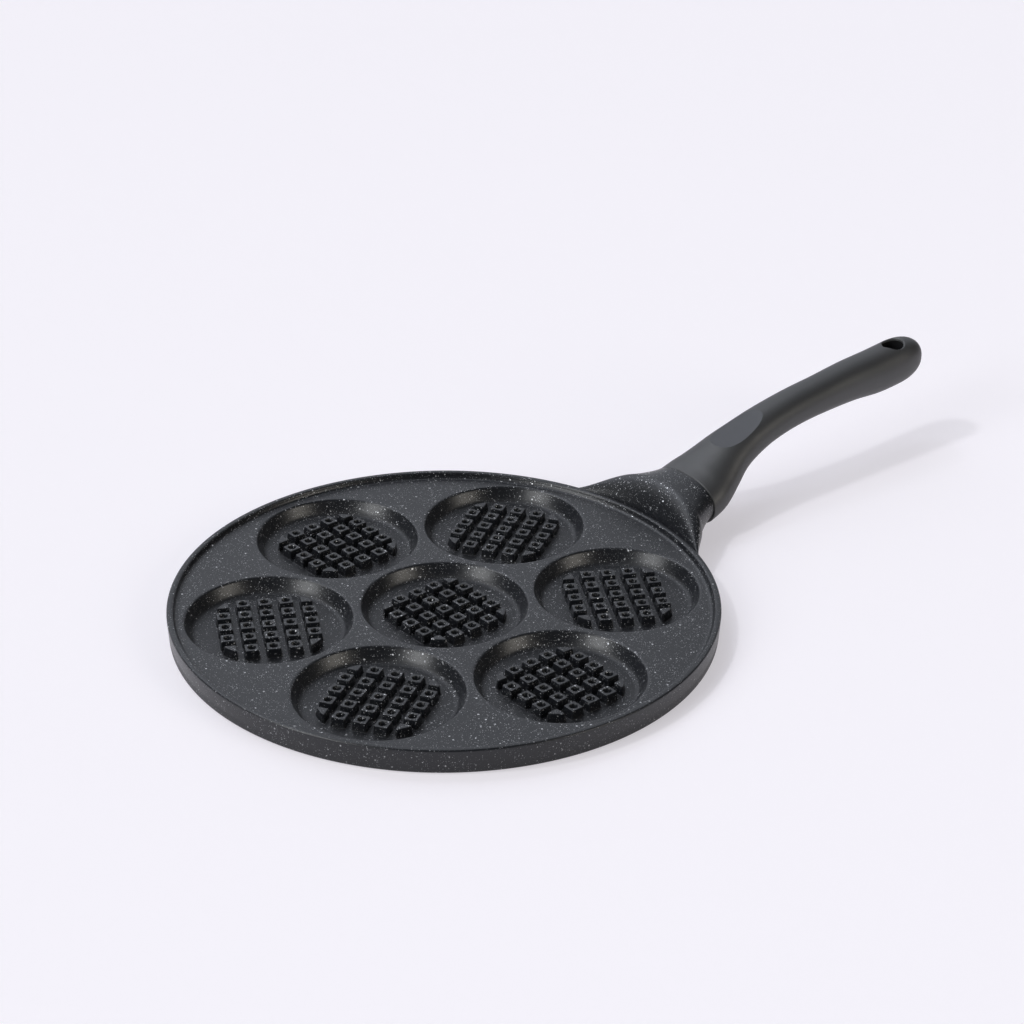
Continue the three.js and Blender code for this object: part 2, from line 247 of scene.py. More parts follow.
class Skin:
    """Grids, fans and flat fills in millimetres, which weld into one closed mesh."""

    def __init__(self) -> None:
        """Starts with nothing."""
        self._points: list[np.ndarray] = []
        self._faces: list[list[int]] = []
        self._count = 0

    @classmethod
    def closed(
        cls, rings: np.ndarray, first: np.ndarray | None = None, last: np.ndarray | None = None
    ) -> "Skin":
        """Covers rings from end to end and closes both ends.

        Args:
            rings: One row of points for each ring.
            first: Where the fan over the first ring meets, if not in the ring's middle.
            last: The same for the last ring.

        Returns:
            The closed skin.
        """
        skin = cls()
        skin.grid(rings)
        skin.fan(rings[0], first)
        skin.fan(rings[-1], last)
        return skin

    def _keep(self, points: np.ndarray, faces: list[list[int]]) -> None:
        """Adds points and the faces that number them from zero.

        Args:
            points: Points in any arrangement.
            faces: Rows of their numbers.
        """
        self._points.append(points.reshape(-1, 3))
        self._faces.extend([number + self._count for number in face] for face in faces)
        self._count += len(self._points[-1])

    def grid(self, points: np.ndarray) -> None:
        """Covers a grid of points, whose last column joins the first, with four sided faces.

        Args:
            points: Rows and columns of points.
        """
        number = np.arange(points.shape[0] * points.shape[1]).reshape(points.shape[:2])
        after = np.roll(number, -1, axis=1)
        corners = [number[:-1], after[:-1], after[1:], number[1:]]
        self._keep(points, np.stack(corners, axis=-1).reshape(-1, 4).tolist())

    def fan(self, ring: np.ndarray, middle: np.ndarray | None = None) -> None:
        """Closes a ring with triangles that meet in its middle.

        Args:
            ring: The ring's points.
            middle: Where the triangles meet instead.
        """
        tip = ring.mean(axis=0) if middle is None else middle
        number = np.arange(len(ring))
        faces = np.stack([number, np.roll(number, -1), np.full(len(ring), len(ring))], axis=-1)
        self._keep(np.vstack([ring, tip]), faces.tolist())

    def fill(self, loops: list[np.ndarray]) -> None:
        """Fills a level region with triangles.

        Args:
            loops: Closed rings of points at one height: the outer one, then the holes.
        """
        points = np.vstack(loops)
        starts = np.cumsum([0] + [len(loop) for loop in loops])
        rings = [list(range(a, b)) for a, b in zip(starts[:-1], starts[1:])]
        flat = [Vector(point) for point in points[:, :2]]
        made = delaunay_2d_cdt(flat, [], rings, 2, FILL_TOLERANCE)
        places = np.array([tuple(point) for point in made[0]])
        self._keep(xyz(*places.T, points[0, 2]), made[2])

    def take(self, other: "Skin", turn: float = 0, to: Spot = (0, 0)) -> None:
        """Adds all of another skin, turned about the Z axis and set down elsewhere."""
        self._keep(np.vstack(other._points) @ spin(turn) + [*to, 0], other._faces)

    def piece(self, name: str, carry: Matrix | None = None) -> Piece:
        """Makes the object, in metres, with its seams welded and its faces pointing out.

        Args:
            name: The object's name.
            carry: A placement in millimetres that is applied to the points first.

        Returns:
            The new object, which sits at the origin.
        """
        points = np.vstack(self._points)
        if carry is not None:
            matrix = np.array(carry)
            points = points @ matrix[:3, :3].T + matrix[:3, 3]
        mesh = bpy.data.meshes.new(name)
        mesh.from_pydata((points * MILLIMETRE).tolist(), [], self._faces)
        with editing(mesh) as work:
            bmesh.ops.remove_doubles(work, verts=work.verts, dist=WELD)
            bmesh.ops.recalc_face_normals(work, faces=work.faces)
        return linked(name, mesh)


def drum(radius: float, low: float, high: float, sides: int) -> Skin:
    """Builds a plain cylinder about the Z axis."""
    return Skin.closed(turned(np.array([[radius, low], [radius, high]]), sides))


def combine(body: Piece, tool: Piece, how: Join) -> None:
    """Joins a tool to a body or cuts it away, and removes the tool.

    Args:
        body: The object that is kept.
        tool: The object that acts on it, whose cut faces keep its own material.
        how: Whether the tool is added or cut.
    """
    change = body.modifiers.new("combine", "BOOLEAN")
    change.operation = how.value
    change.solver = "MANIFOLD"
    change.material_mode = "TRANSFER"
    change.object = tool
    view = bpy.context.evaluated_depsgraph_get()
    made = bpy.data.meshes.new_from_object(body.evaluated_get(view))
    body.modifiers.clear()
    worn, body.data = body.data, made
    made.name = body.name
    bpy.data.meshes.remove(worn)
    bpy.data.objects.remove(tool)


def smooth(piece: Piece, angle: float) -> None:
    """Shades a piece smooth, with hard edges past an angle and where two finishes meet.

    Args:
        piece: The piece.
        angle: The least hard edge, in degrees.
    """
    mesh = piece.data
    mesh.shade_smooth()
    mesh.set_sharp_from_angle(angle=math.radians(angle))
    if len(mesh.materials) > 1:
        with editing(mesh) as work:
            for edge in work.edges:
                if len({side.material_index for side in edge.link_faces}) > 1:
                    edge.smooth = False


class Wire:
    """An output socket of a node tree that can be used in sums; each sum adds a node."""

    kind = ""

    def __init__(self, nodes: "Nodes", socket: Socket) -> None:
        """Wraps one output socket."""
        self.nodes = nodes
        self.socket = socket

    def _sum(self, operation: str, inputs: dict, output: int | str = 0) -> Socket:
        """Adds one node of this kind and gives one of its outputs."""
        return self.nodes.node(self.kind, {"operation": operation}, inputs).outputs[output]

    def _with(self, operation: str, other: object) -> "Wire":
        """Adds a node that works on this and another."""
        return type(self)(self.nodes, self._sum(operation, {0: self, 1: other}))

    def __add__(self, other: "Number | Arrow") -> "Wire":
        """Adds."""
        return self._with("ADD", other)

    def __sub__(self, other: "Number | Arrow | tuple") -> "Wire":
        """Subtracts."""
        return self._with("SUBTRACT", other)


class Value(Wire):
    """A number; each sum adds a Math node."""

    kind = "ShaderNodeMath"

    __radd__ = Wire.__add__

    def __rsub__(self, other: float) -> "Value":
        """Subtracts this from a number."""
        return Value(self.nodes, self._sum("SUBTRACT", {0: other, 1: self}))

    def __mul__(self, other: "Number") -> "Value":
        """Multiplies."""
        return self._with("MULTIPLY", other)

    __rmul__ = __mul__

    def __gt__(self, other: "Number") -> "Value":
        """Is 1 where this is greater, else 0."""
        return self._with("GREATER_THAN", other)

    def larger(self, other: "Number") -> "Value":
        """Takes the larger of the two."""
        return self._with("MAXIMUM", other)

    def between(self, low: "Number", high: "Number", start: float = 0, end: float = 1) -> "Value":
        """Runs smoothly from start to end as this goes from low to high.

        Args:
            low: Where the run starts.
            high: Where it ends.
            start: What it gives up to low.
            end: What it gives from high on.

        Returns:
            The value.
        """
        inputs = {0: self, 1: low, 2: high, 3: start, 4: end}
        node = self.nodes.node("ShaderNodeMapRange", {"interpolation_type": "SMOOTHSTEP"}, inputs)
        return Value(self.nodes, node.outputs[0])


class Arrow(Wire):
    """A vector or colour; each sum adds a Vector Math node."""

    kind = "ShaderNodeVectorMath"

    def __mul__(self, size: "Number") -> "Arrow":
        """Scales by a number."""
        return Arrow(self.nodes, self._sum("SCALE", {0: self, "Scale": size}))

    def unit(self) -> "Arrow":
        """Gives the same direction with a length of one."""
        return Arrow(self.nodes, self._sum("NORMALIZE", {0: self}))

    def flat(self) -> "Arrow":
        """Gives the part that lies across the Z axis."""
        return self._with("MULTIPLY", (1, 1, 0))

    def length(self) -> Value:
        """Gives the length."""
        return Value(self.nodes, self._sum("LENGTH", {0: self}, "Value"))

    def dot(self, other: tuple[float, float, float]) -> Value:
        """Gives the scalar product with a fixed vector."""
        return Value(self.nodes, self._sum("DOT_PRODUCT", {0: self, 1: other}, "Value"))


Number = Value | float


class Nodes:
    """A node tree, with one method that adds any node."""

    def __init__(self, tree: bpy.types.NodeTree) -> None:
        """Wraps a tree."""
        self.tree = tree

    def node(
        self, kind: str, settings: dict | None = None, inputs: dict | None = None
    ) -> bpy.types.Node:
        """Adds a node.

        Args:
            kind: The node's type.
            settings: Its settings, which are made first.
            inputs: Values or links for its sockets, by name or number.

        Returns:
            The node.
        """
        made = self.tree.nodes.new(kind)
        for key, value in (settings or {}).items():
            setattr(made, key, value)
        for key, value in (inputs or {}).items():
            self.feed(made.inputs[key], value)
        return made

    def feed(self, socket: Socket, value: object) -> None:
        """Links a socket to a value, or sets it."""
        if isinstance(value, Wire):
            value = value.socket
        if isinstance(value, Socket):
            self.tree.links.new(value, socket)
        elif isinstance(value, tuple) and len(value) == 3 and socket.type == "RGBA":
            socket.default_value = (*value, 1)
        else:
            socket.default_value = value

    def blend(self, share: Number, first: object, second: object) -> Socket:
        """Mixes two colours."""
        node = self.node("ShaderNodeMix", {"data_type": "RGBA"}, {0: share, 6: first, 7: second})
        return node.outputs[2]


class Recipe(Nodes):
    """A material's nodes."""

    def __init__(self, name: str) -> None:
        """Starts a material with its shader.

        Args:
            name: The material's name.
        """
        self.material = bpy.data.materials.new(name)
        self.material.use_nodes = True
        super().__init__(self.material.node_tree)
        self.shader = self.tree.nodes["Principled BSDF"]
        self.place = Arrow(self, self.node("ShaderNodeTexCoord").outputs["Object"])

    @property
    def level(self) -> Value:
        """Gives the height over the table, in metres."""
        return Value(self, self.node("ShaderNodeSeparateXYZ", None, {0: self.place}).outputs[2])

    def noise(self, size: float, detail: float = 2, rough: float = 0.5) -> bpy.types.Node:
        """Adds noise whose waves are about one size long, in millimetres.

        Args:
            size: Length of a wave.
            detail: How many finer waves.
            rough: Their strength.

        Returns:
            The noise node.
        """
        scale = 1 / (size * MILLIMETRE)
        inputs = {"Vector": self.place, "Scale": scale, "Detail": detail, "Roughness": rough}
        return self.node("ShaderNodeTexNoise", None, inputs)

    def noise_value(self, size: float, detail: float = 2, rough: float = 0.5) -> Value:
        """Gives that noise as a value from 0 to 1."""
        return Value(self, self.noise(size, detail, rough).outputs["Fac"])

    def bump(self, height: Value, depth: float) -> Arrow:
        """Gives the normal over a height, whose full swing is a depth in millimetres."""
        inputs = {"Strength": 1.0, "Distance": depth * MILLIMETRE, "Height": height}
        return Arrow(self, self.node("ShaderNodeBump", None, inputs).outputs["Normal"])

    def dress(self, **inputs: object) -> bpy.types.Material:
        """Sets the shader's sockets, with _ for a space in their names."""
        for key, value in inputs.items():
            self.feed(self.shader.inputs[key.replace("_", " ")], value)
        return self.material


@dataclass(frozen=True)
class Fleck:
    """One size of pale metal flake in the coating.

    Attributes:
        cell: Spacing of the places where a flake may lie, in millimetres.
        share: Share of those places that have one.
        reach: A large flake's radius, as a share of the spacing.
        strength: How pale it is, from 0 to 1.
        stretch: How far noise bends its outline, in millimetres.
        drift: Length of that noise's waves, as a share of the spacing.
        least: The smallest flake's radius and paleness, as a share of the largest.
        core: Share of its radius within which a flake is at its palest.
    """

    cell: float
    share: float
    reach: float
    strength: float
    stretch: float
    drift: float = 0.7
    least: float = 0.4
    core: float = 0.6

    def lay(self, recipe: Recipe) -> tuple[Value, Arrow]:
        """Lays the flakes: a ball round the middle of some cells, each with its own size and tilt.

        Args:
            recipe: The material's nodes.

        Returns:
            The mask of the flakes, and their tilt away from the surface.
        """
        drift = Arrow(recipe, recipe.noise(self.cell * self.drift, 1).outputs["Color"])
        place = recipe.place + drift * (self.stretch * MILLIMETRE)
        cells = recipe.node(
            "ShaderNodeTexVoronoi",
            {"feature": "F1", "voronoi_dimensions": "3D"},
            {"Vector": place, "Scale": 1 / (self.cell * MILLIMETRE)},
        )
        parts = recipe.node("ShaderNodeSeparateColor", None, {0: cells.outputs["Color"]})
        pick, size, pale = (Value(recipe, part) for part in parts.outputs)
        chosen = pick > 1 - self.share
        radius = size * (self.reach * (1 - self.least)) + self.reach * self.least
        inside = Value(recipe, cells.outputs["Distance"]).between(radius * self.core, radius, 1, 0)
        tone = pale * (1 - self.least) + self.least
        mask = inside * chosen * tone * self.strength
        return mask, (Arrow(recipe, cells.outputs["Color"]) - (0.5, 0.5, 0.5)) * mask


@dataclass(frozen=True)
class SpeckledCoating:
    """The casting's charcoal non-stick coating with pale metal flakes.

    Attributes:
        cloud: Size in millimetres, detail and roughness of the noise in its tone, and so on for
            mottle, which also varies the gloss, patches, which thin the flakes out, grain and
            swell, which make the relief.
        skirt: Distances from the Z axis, in metres, over which the skirt's face starts and ends.
        feet: Heights, in metres, over which the duller feet end.
        thinning: Levels of the patches from which to which the flakes' share grows, and
            the shares there.
        relief: The relief's depth in millimetres.
    """

    dark: Colour = (0.0045, 0.0053, 0.0073)
    light: Colour = (0.0100, 0.0113, 0.0145)
    fleck_colour: Colour = (0.92, 0.93, 0.96)
    flecks: tuple[Fleck, ...] = (
        Fleck(2.8, 0.38, 0.22, 1.0, 0.6),
        Fleck(1.7, 0.36, 0.24, 1.0, 0.35),
        Fleck(1.0, 0.5, 0.30, 0.9, 0.2),
        Fleck(0.6, 0.5, 0.36, 0.5, 0.1),
    )
    cloud: tuple[float, ...] = (34, 3, 0.6)
    mottle: tuple[float, ...] = (1.6, 4, 0.65)
    patches: tuple[float, ...] = (9, 2)
    grain: tuple[float, ...] = (0.5, 2)
    swell: tuple[float, ...] = (2.6, 2)
    skirt: tuple[Spot, Spot] = ((0.1328, 0.1336), (0.1351, 0.1356))
    feet: Spot = (0.0035, 0.006)
    thinning: tuple[float, ...] = (0.34, 0.62, 0.35, 1)
    cloud_span: Spot = (0.3, 0.7)
    cloud_share: float = 0.4
    swell_share: float = 0.35
    relief: float = 0.07
    roughness: float = 0.27
    unevenness: float = 0.1
    fleck_gloss: float = 0.06
    dulling: float = 0.14
    skirt_loss: float = 0.5
    metal: float = 0.58
    tilt: float = 0.7

    def material(self) -> bpy.types.Material:
        """Builds the finish.

        Returns:
            The material.
        """
        recipe = Recipe("speckled_coating")
        cloud = recipe.noise_value(*self.cloud)
        mottle = recipe.noise_value(*self.mottle)
        tone = cloud.between(*self.cloud_span) * self.cloud_share
        tone = tone + mottle * (1 - self.cloud_share)
        ground = recipe.blend(tone, self.dark, self.light)
        spread = recipe.noise_value(*self.patches).between(*self.thinning)
        mask, tilt = self.flecks[0].lay(recipe)
        for fleck in self.flecks[1:]:
            more, lean = fleck.lay(recipe)
            mask = mask.larger(more * spread)
            tilt = tilt + lean
        radius = recipe.place.flat().length()
        skirt = radius.between(*self.skirt[0]) * radius.between(*self.skirt[1], 1, 0)
        mask = mask * (1 - skirt * self.skirt_loss)
        grain = recipe.noise_value(*self.grain)
        low = recipe.level.between(*self.feet, 1, 0)
        swell = recipe.noise_value(*self.swell) * self.swell_share
        surface = recipe.bump(swell + grain * (1 - self.swell_share), self.relief)
        uneven = mottle * self.unevenness + low * self.dulling - mask * self.fleck_gloss
        return recipe.dress(
            Base_Color=recipe.blend(mask, ground, self.fleck_colour),
            Metallic=mask * self.metal,
            Roughness=self.roughness + uneven,
            Normal=(surface + tilt * self.tilt).unit(),
        )


@dataclass(frozen=True)
class MouldedResin:
    """The handle's satin black moulding, its matte thumb rest, or the near-black copy that paints
    shade on the hanging hole's walls.
    """

    name: str = "moulded_resin"
    dark: Colour = (0.0240, 0.0246, 0.0258)
    light: Colour = (0.0340, 0.0347, 0.0362)
    roughness: float = 0.42
    grain: float = 0.010
    shine: float = 0.8
    cloud: tuple[float, ...] = (22, 4, 0.6)
    fine: tuple[float, ...] = (0.5, 3, 0.6)
    scuff: tuple[float, ...] = (5, 3, 0.7)
    cloud_span: Spot = (0.25, 0.75)
    cloud_share: float = 0.7
    fine_share: float = 0.7
    unevenness: Spot = (0.08, 0.05)

    def material(self) -> bpy.types.Material:
        """Builds the finish: a fine mould grain, faint flow clouds and slightly uneven gloss.

        Returns:
            The material.
        """
        recipe = Recipe(self.name)
        sorts = (self.cloud, self.fine, self.scuff)
        cloud, fine, scuff = (recipe.noise_value(*noise) for noise in sorts)
        tone = cloud.between(*self.cloud_span) * self.cloud_share
        tone = tone + fine * (1 - self.cloud_share)
        height = fine * self.fine_share + scuff * (1 - self.fine_share)
        return recipe.dress(
            Base_Color=recipe.blend(tone, self.dark, self.light),
            Roughness=self.roughness + scuff * self.unevenness[0] + fine * self.unevenness[1],
            Specular_IOR_Level=self.shine,
            Normal=recipe.bump(height, self.grain),
        )


@dataclass(frozen=True)
class PlatedSteel:
    """The screw's and washers' zinc plating."""

    dull: Colour = (0.42, 0.43, 0.44)
    bright: Colour = (0.60, 0.61, 0.63)
    cloud: tuple[float, ...] = (1.6, 4, 0.6)
    marks: tuple[float, ...] = (0.12, 2)
    grain: float = 0.006
    roughness: float = 0.3
    unevenness: float = 0.16

    def material(self) -> bpy.types.Material:
        """Builds the finish: cloudy plating with fine turning marks.

        Returns:
            The material.
        """
        recipe = Recipe("plated_steel")
        cloud = recipe.noise_value(*self.cloud)
        return recipe.dress(
            Base_Color=recipe.blend(cloud, self.dull, self.bright),
            Metallic=1.0,
            Roughness=self.roughness + cloud * self.unevenness,
            Normal=recipe.bump(recipe.noise_value(*self.marks), self.grain),
        )


@dataclass(frozen=True)
class Paper:
    """The pale sweep that the pan stands on."""

    colour: Colour = (0.58, 0.568, 0.6)
    lift: Colour = (0.445, 0.43, 0.455)
    cloud: tuple[float, ...] = (420, 2)
    shading: float = 0.985
    roughness: float = 0.9
    shine: float = 0.1

    def material(self) -> bpy.types.Material:
        """Builds the finish: matte, very faintly uneven, and lifted a little where it is seen.

        Returns:
            The material.
        """
        recipe = Recipe("pale_paper")
        cloud = recipe.noise_value(*self.cloud)
        shade = tuple(part * self.shading for part in self.colour)
        path = recipe.node("ShaderNodeLightPath").outputs
        camera, glossy, through = (
            Value(recipe, path[f"Is {kind} Ray"]) for kind in ("Camera", "Glossy", "Transmission")
        )
        seen = camera.larger(glossy).larger(through)
        return recipe.dress(
            Base_Color=recipe.blend(cloud, shade, self.colour),
            Roughness=self.roughness,
            Specular_IOR_Level=self.shine,
            Emission_Color=recipe.blend(seen, (0.0, 0.0, 0.0), self.lift),
            Emission_Strength=1.0,
        )


@dataclass
class Pegs:
    """The waffle pattern that stands on a cup's floor, 25 tapered pegs with dimpled tops.

    A peg's section is found along rays from its middle: the distance to each of its four sides and
    to the circle that cuts the corner pegs, joined by a high norm, which eases the corners.
    """

    across: int = 5
    pitch: float = 10.5
    top_width: float = 6.4
    base_width: float = 7.4
    height: float = 4.7
    root_ease: float = 0.45
    edge_ease: float = 0.3
    dimple_radius: float = 2.05
    dimple_depth: float = 2.2
    # Shares of the dimple's radius and depth, from its eased edge inwards.
    dimple_shares: tuple[Spot, ...] = ((1.05, 0), (1.0, 0.06), (0.95, 0.45), (0.78, 0.86))
    # Shares of the root's ease, upwards and outwards, before the peg's side starts.
    root_shares: tuple[Spot, ...] = ((0, 1.3), (0, 1), (0.25, 0.25))
    # Shares of the edge's ease, downwards and inwards, after the peg's side ends.
    edge_shares: tuple[Spot, ...] = ((0.25, 0.15), (0, 0.8), (0, 1.3))
    # Shares of both eases at which the side is held straight.
    side_shares: Spot = (1, 1.4)
    norm: float = 15.0
    # Turns of the rays from the middle of a side, closer together towards the corners.
    side_rays: tuple[float, ...] = (0, 26, 38, 42.8, 47.2, 52, 64)
    corner_shift: float = 1.2

    @property
    def rays(self) -> np.ndarray:
        """Gives the directions of the rays that go round a peg.

        Returns:
            One row of x and y for each ray.
        """
        quarters = (0, 90, 180, 270)
        angle = np.radians([quarter + turn for quarter in quarters for turn in self.side_rays])
        return np.stack([np.cos(angle), np.sin(angle)], axis=-1)

    @property
    def half_span(self) -> float:
        """Gives the distance from the middle of a cup to the outer rows of pegs."""
        return (self.across - 1) / 2 * self.pitch

    @property
    def clip_radius(self) -> float:
        """Gives the radius of the circle that cuts the corner pegs, at their tops."""
        return self.half_span * math.sqrt(2)

    def section(self, middle: np.ndarray, widening: float, corner: bool) -> np.ndarray:
        """Works out one ring of a peg.

        Args:
            middle: The peg's middle, from the middle of the cup.
            widening: How much wider than the peg's top it is, on each side.
            corner: Whether the circle cuts this peg.

        Returns:
            The ring's points across the floor, one row of x and y for each ray.
        """
        shift = self.corner_shift * middle / np.linalg.norm(middle) if corner else np.zeros(2)
        origin = middle - shift
        sides = np.array([[1, 0], [-1, 0], [0, 1], [0, -1]], float)
        toward = self.rays @ sides.T
        room = self.top_width / 2 + widening + sides @ shift
        reach = np.where(toward > NEARLY_NOTHING, room / np.maximum(toward, NEARLY_NOTHING), np.inf)
        if corner:
            along = self.rays @ origin
            clip = self.clip_radius + widening
            circle = np.sqrt(along**2 - origin @ origin + clip**2) - along
            reach = np.hstack([reach, circle[:, None]])
        radius = (reach**-self.norm).sum(axis=1) ** (-1 / self.norm)
        return origin + self.rays * radius[:, None]

    def stages(self, floor: float) -> Table:
        """Gives a peg's heights from its root to the edge of its top, with the widening of each.

        Args:
            floor: Height of the cup's floor.

        Returns:
            Rows of height and widening.
        """
        wide = (self.base_width - self.top_width) / 2
        slope = wide / self.height
        top, root, edge = floor + self.height, self.root_ease, self.edge_ease
        low, high = self.side_shares, self.side_shares[::-1]
        return [
            *((floor + root * up, wide + root * out) for up, out in self.root_shares),
            *((floor + root * up, wide - root * up * slope) for up in low),
            *((top - edge * down, edge * down * slope) for down in high),
            *((top - edge * down, -edge * inward) for down, inward in self.edge_shares),
        ]

    def stand(self, floor: float, rim: np.ndarray) -> Skin:
        """Builds the floor of a cup with its pegs.

        Args:
            floor: Height of the floor.
            rim: Ring where the floor meets the cup's wall.

        Returns:
            The skin, open round the rim.
        """
        skin, feet, top = Skin(), [rim], floor + self.height
        row = [i * self.pitch - self.half_span for i in range(self.across)]
        for middle in (np.array([x, y]) for x in row for y in row):
            corner = np.linalg.norm(middle) + self.top_width / 2 > self.clip_radius
            rings = [
                xyz(*self.section(middle, widening, corner).T, height)
                for height, widening in self.stages(floor)
            ]
            feet.append(rings[0])
            if not corner:
                rings.extend(self.dimple(middle, top))
            skin.grid(np.stack(rings))
            tip = rings[-1].mean(axis=0)
            if not corner:
                tip[2] = top - self.dimple_depth
            skin.fan(rings[-1], tip)
        skin.fill(feet)
        return skin

    def dimple(self, middle: np.ndarray, top: float) -> list[np.ndarray]:
        """Gives the rings of the round dimple in a peg's top, a deep bowl with an eased edge."""
        return [
            xyz(*(middle + self.dimple_radius * wide * self.rays).T, top - self.dimple_depth * deep)
            for wide, deep in self.dimple_shares
        ]


@dataclass
class Neck:
    """The flared neck: a crown from the seam to the crest, then a steep face down to the rim.

    Its sections are ovals that bend from flat at the seam to the round of the rim at the crest.
    """

    seam_x: float = 160.3
    seam_level: float = 16.1
    seam_half_width: float = 22.4
    seam_half_height: float = 12.0
    seam_ease: float = 0.3
    crest_radius: float = 146.8
    crest_drop: float = 0.7
    crest_half_width: float = 31.5
    root_radius: float = 134.4
    root_half_width: float = 50.0
    root_level: float = 11.2
    root_top: float = 11.7
    root_bottom: float = 0.8
    end_radius: float = 131.2
    buried_radius: float = 133.1
    flare_power: float = 1.55
    face_power: float = 1.25
    power: float = 2.2
    spigot_length: float = 3.0
    spigot_inset: float = 4.0
    sides: int = 112
    end_sides: int = 288
    crown_rows: int = 20
    front_rows: int = 32

    def stations(self) -> np.ndarray:
        """Works out the sections from the seam to the end inside the rim.

        Over the crown, at a share s, the half width grows with s to the flare power, the top
        falls with sin(s pi / 2) and the bend is 3 s^2 - 2 s^3. Over the face the radius follows
        sin(s pi / 2) and the top cos(s pi / 2), each to the face power, which draws a quarter of
        an oval that is flatter than an ellipse and turns quickly at the crest.

        Returns:
            Rows of radius, half width, top and bend.
        """
        seam_top = self.seam_level + self.seam_half_height
        crest = seam_top - self.crest_drop
        s = np.arange(self.crown_rows) / self.crown_rows
        crown = [
            self.seam_x + (self.crest_radius - self.seam_x) * s,
            self.seam_half_width
            + (self.crest_half_width - self.seam_half_width) * s**self.flare_power,
            seam_top - self.crest_drop * np.sin(s * np.pi / 2),
            s * s * (3 - 2 * s),
        ]
        s = np.linspace(0, 1, self.front_rows + 1)
        out = np.sin(s * np.pi / 2) ** self.face_power
        down = np.clip(np.cos(s * np.pi / 2), 0, 1) ** self.face_power
        face = [
            self.crest_radius + (self.root_radius - self.crest_radius) * out,
            self.crest_half_width + (self.root_half_width - self.crest_half_width) * s,
            self.root_top + (crest - self.root_top) * down,
            np.ones_like(s),
        ]
        end = [self.end_radius, self.root_half_width, self.root_top, 1]
        return np.vstack([np.stack(crown, axis=-1), np.stack(face, axis=-1), end])

    def ovals(self) -> np.ndarray:
        """Gives the neck's grid of points, one section a row.

        A point at y on a section of radius r lies at x = r + bend (sqrt(r^2 - y^2) - r).

        Returns:
            The grid of points.
        """
        radius, half_width, top, bend = self.stations().T[:, :, None]
        place = (self.seam_x - radius) / (self.seam_x - self.root_radius)
        level = self.seam_level + (self.root_level - self.seam_level) * place
        seam_bottom = self.seam_level - self.seam_half_height
        bottom = seam_bottom + (self.root_bottom - seam_bottom) * place
        lateral, rise = oval(self.sides, half_width, 1, self.power)
        height = level + np.where(rise > 0, rise * (top - level), rise * (level - bottom))
        return xyz(radius + bend * (np.sqrt(radius**2 - lateral**2) - radius), lateral, height)

    def seam_oval(self, x: float, inset: float, level: float) -> np.ndarray:
        """Gives one flat oval of the seam's shape, drawn in by an inset.

        Args:
            x: Where it stands.
            inset: How far it is drawn in.
            level: Its middle's height.

        Returns:
            The oval's points.
        """
        half = self.seam_half_width - inset, self.seam_half_height - inset
        lateral, lift = oval(self.sides, *half, self.power)
        return xyz(x, lateral, level + lift)

    def body(self) -> Skin:
        """Builds the flare, closed at both ends, with an eased edge at the seam.

        Returns:
            The closed skin.
        """
        ovals = self.ovals()
        ovals[0, :, 0] -= self.seam_ease
        edge = self.seam_oval(self.seam_x, self.seam_ease, self.seam_level)
        return Skin.closed(np.concatenate([edge[None], ovals]))

    def inside(self) -> Skin:
        """Builds the round cutter that ends the flare within the rim."""
        tall = 2 * self.seam_half_width
        return drum(self.buried_radius, -tall, tall, self.end_sides)

    def spigot(self, mouth_level: float, clearance: float = 0.0) -> Skin:
        """Builds the spigot that seats in the handle's mouth, or the recess for it.

        Args:
            mouth_level: Height of the middle of the handle's mouth.
            clearance: How much larger the recess is.

        Returns:
            The closed skin.
        """
        inset, reach = self.spigot_inset - clearance, self.spigot_length
        ends = (self.seam_x - reach, self.seam_x + (reach + clearance))
        return Skin.closed(np.stack([self.seam_oval(x, inset, mouth_level) for x in ends]))


@dataclass
class Tang:
    """The bar inside the handle, and everything that is placed square to it."""

    angle: float = 27.0
    length: float = 36.0
    root: float = 8.0
    half_width: float = 9.0
    half_thickness: float = 3.8
    tip_share: float = 0.85
    power: float = 5.0
    start: tuple[float, float, float] = (160.3, 0, 14.9)
    screw_inset: float = 17.0
    sides: int = 64

    def carry(self, along: float = 0.0) -> Matrix:
        """Gives the placement of the tang's own frame, X along it, shifted along it."""
        turn = Matrix.Rotation(-math.radians(self.angle), 4, "Y")
        return Matrix.Translation(self.start) @ turn @ Matrix.Translation((along, 0, 0))

    def bar(self, clearance: float = 0.0, end_clearance: float = 0.0) -> Skin:
        """Builds the bar, or the socket for it with clearances, in the tang's own frame.

        Args:
            clearance: How much wider the socket is.
            end_clearance: How much longer it is.

        Returns:
            The closed skin.
        """
        rings = []
        for x, share in ((-self.root, 1.0), (self.length + end_clearance, self.tip_share)):
            half = [size * share + clearance for size in (self.half_width, self.half_thickness)]
            rings.append(xyz(x, *oval(self.sides, *half, self.power)))
        return Skin.closed(np.stack(rings))


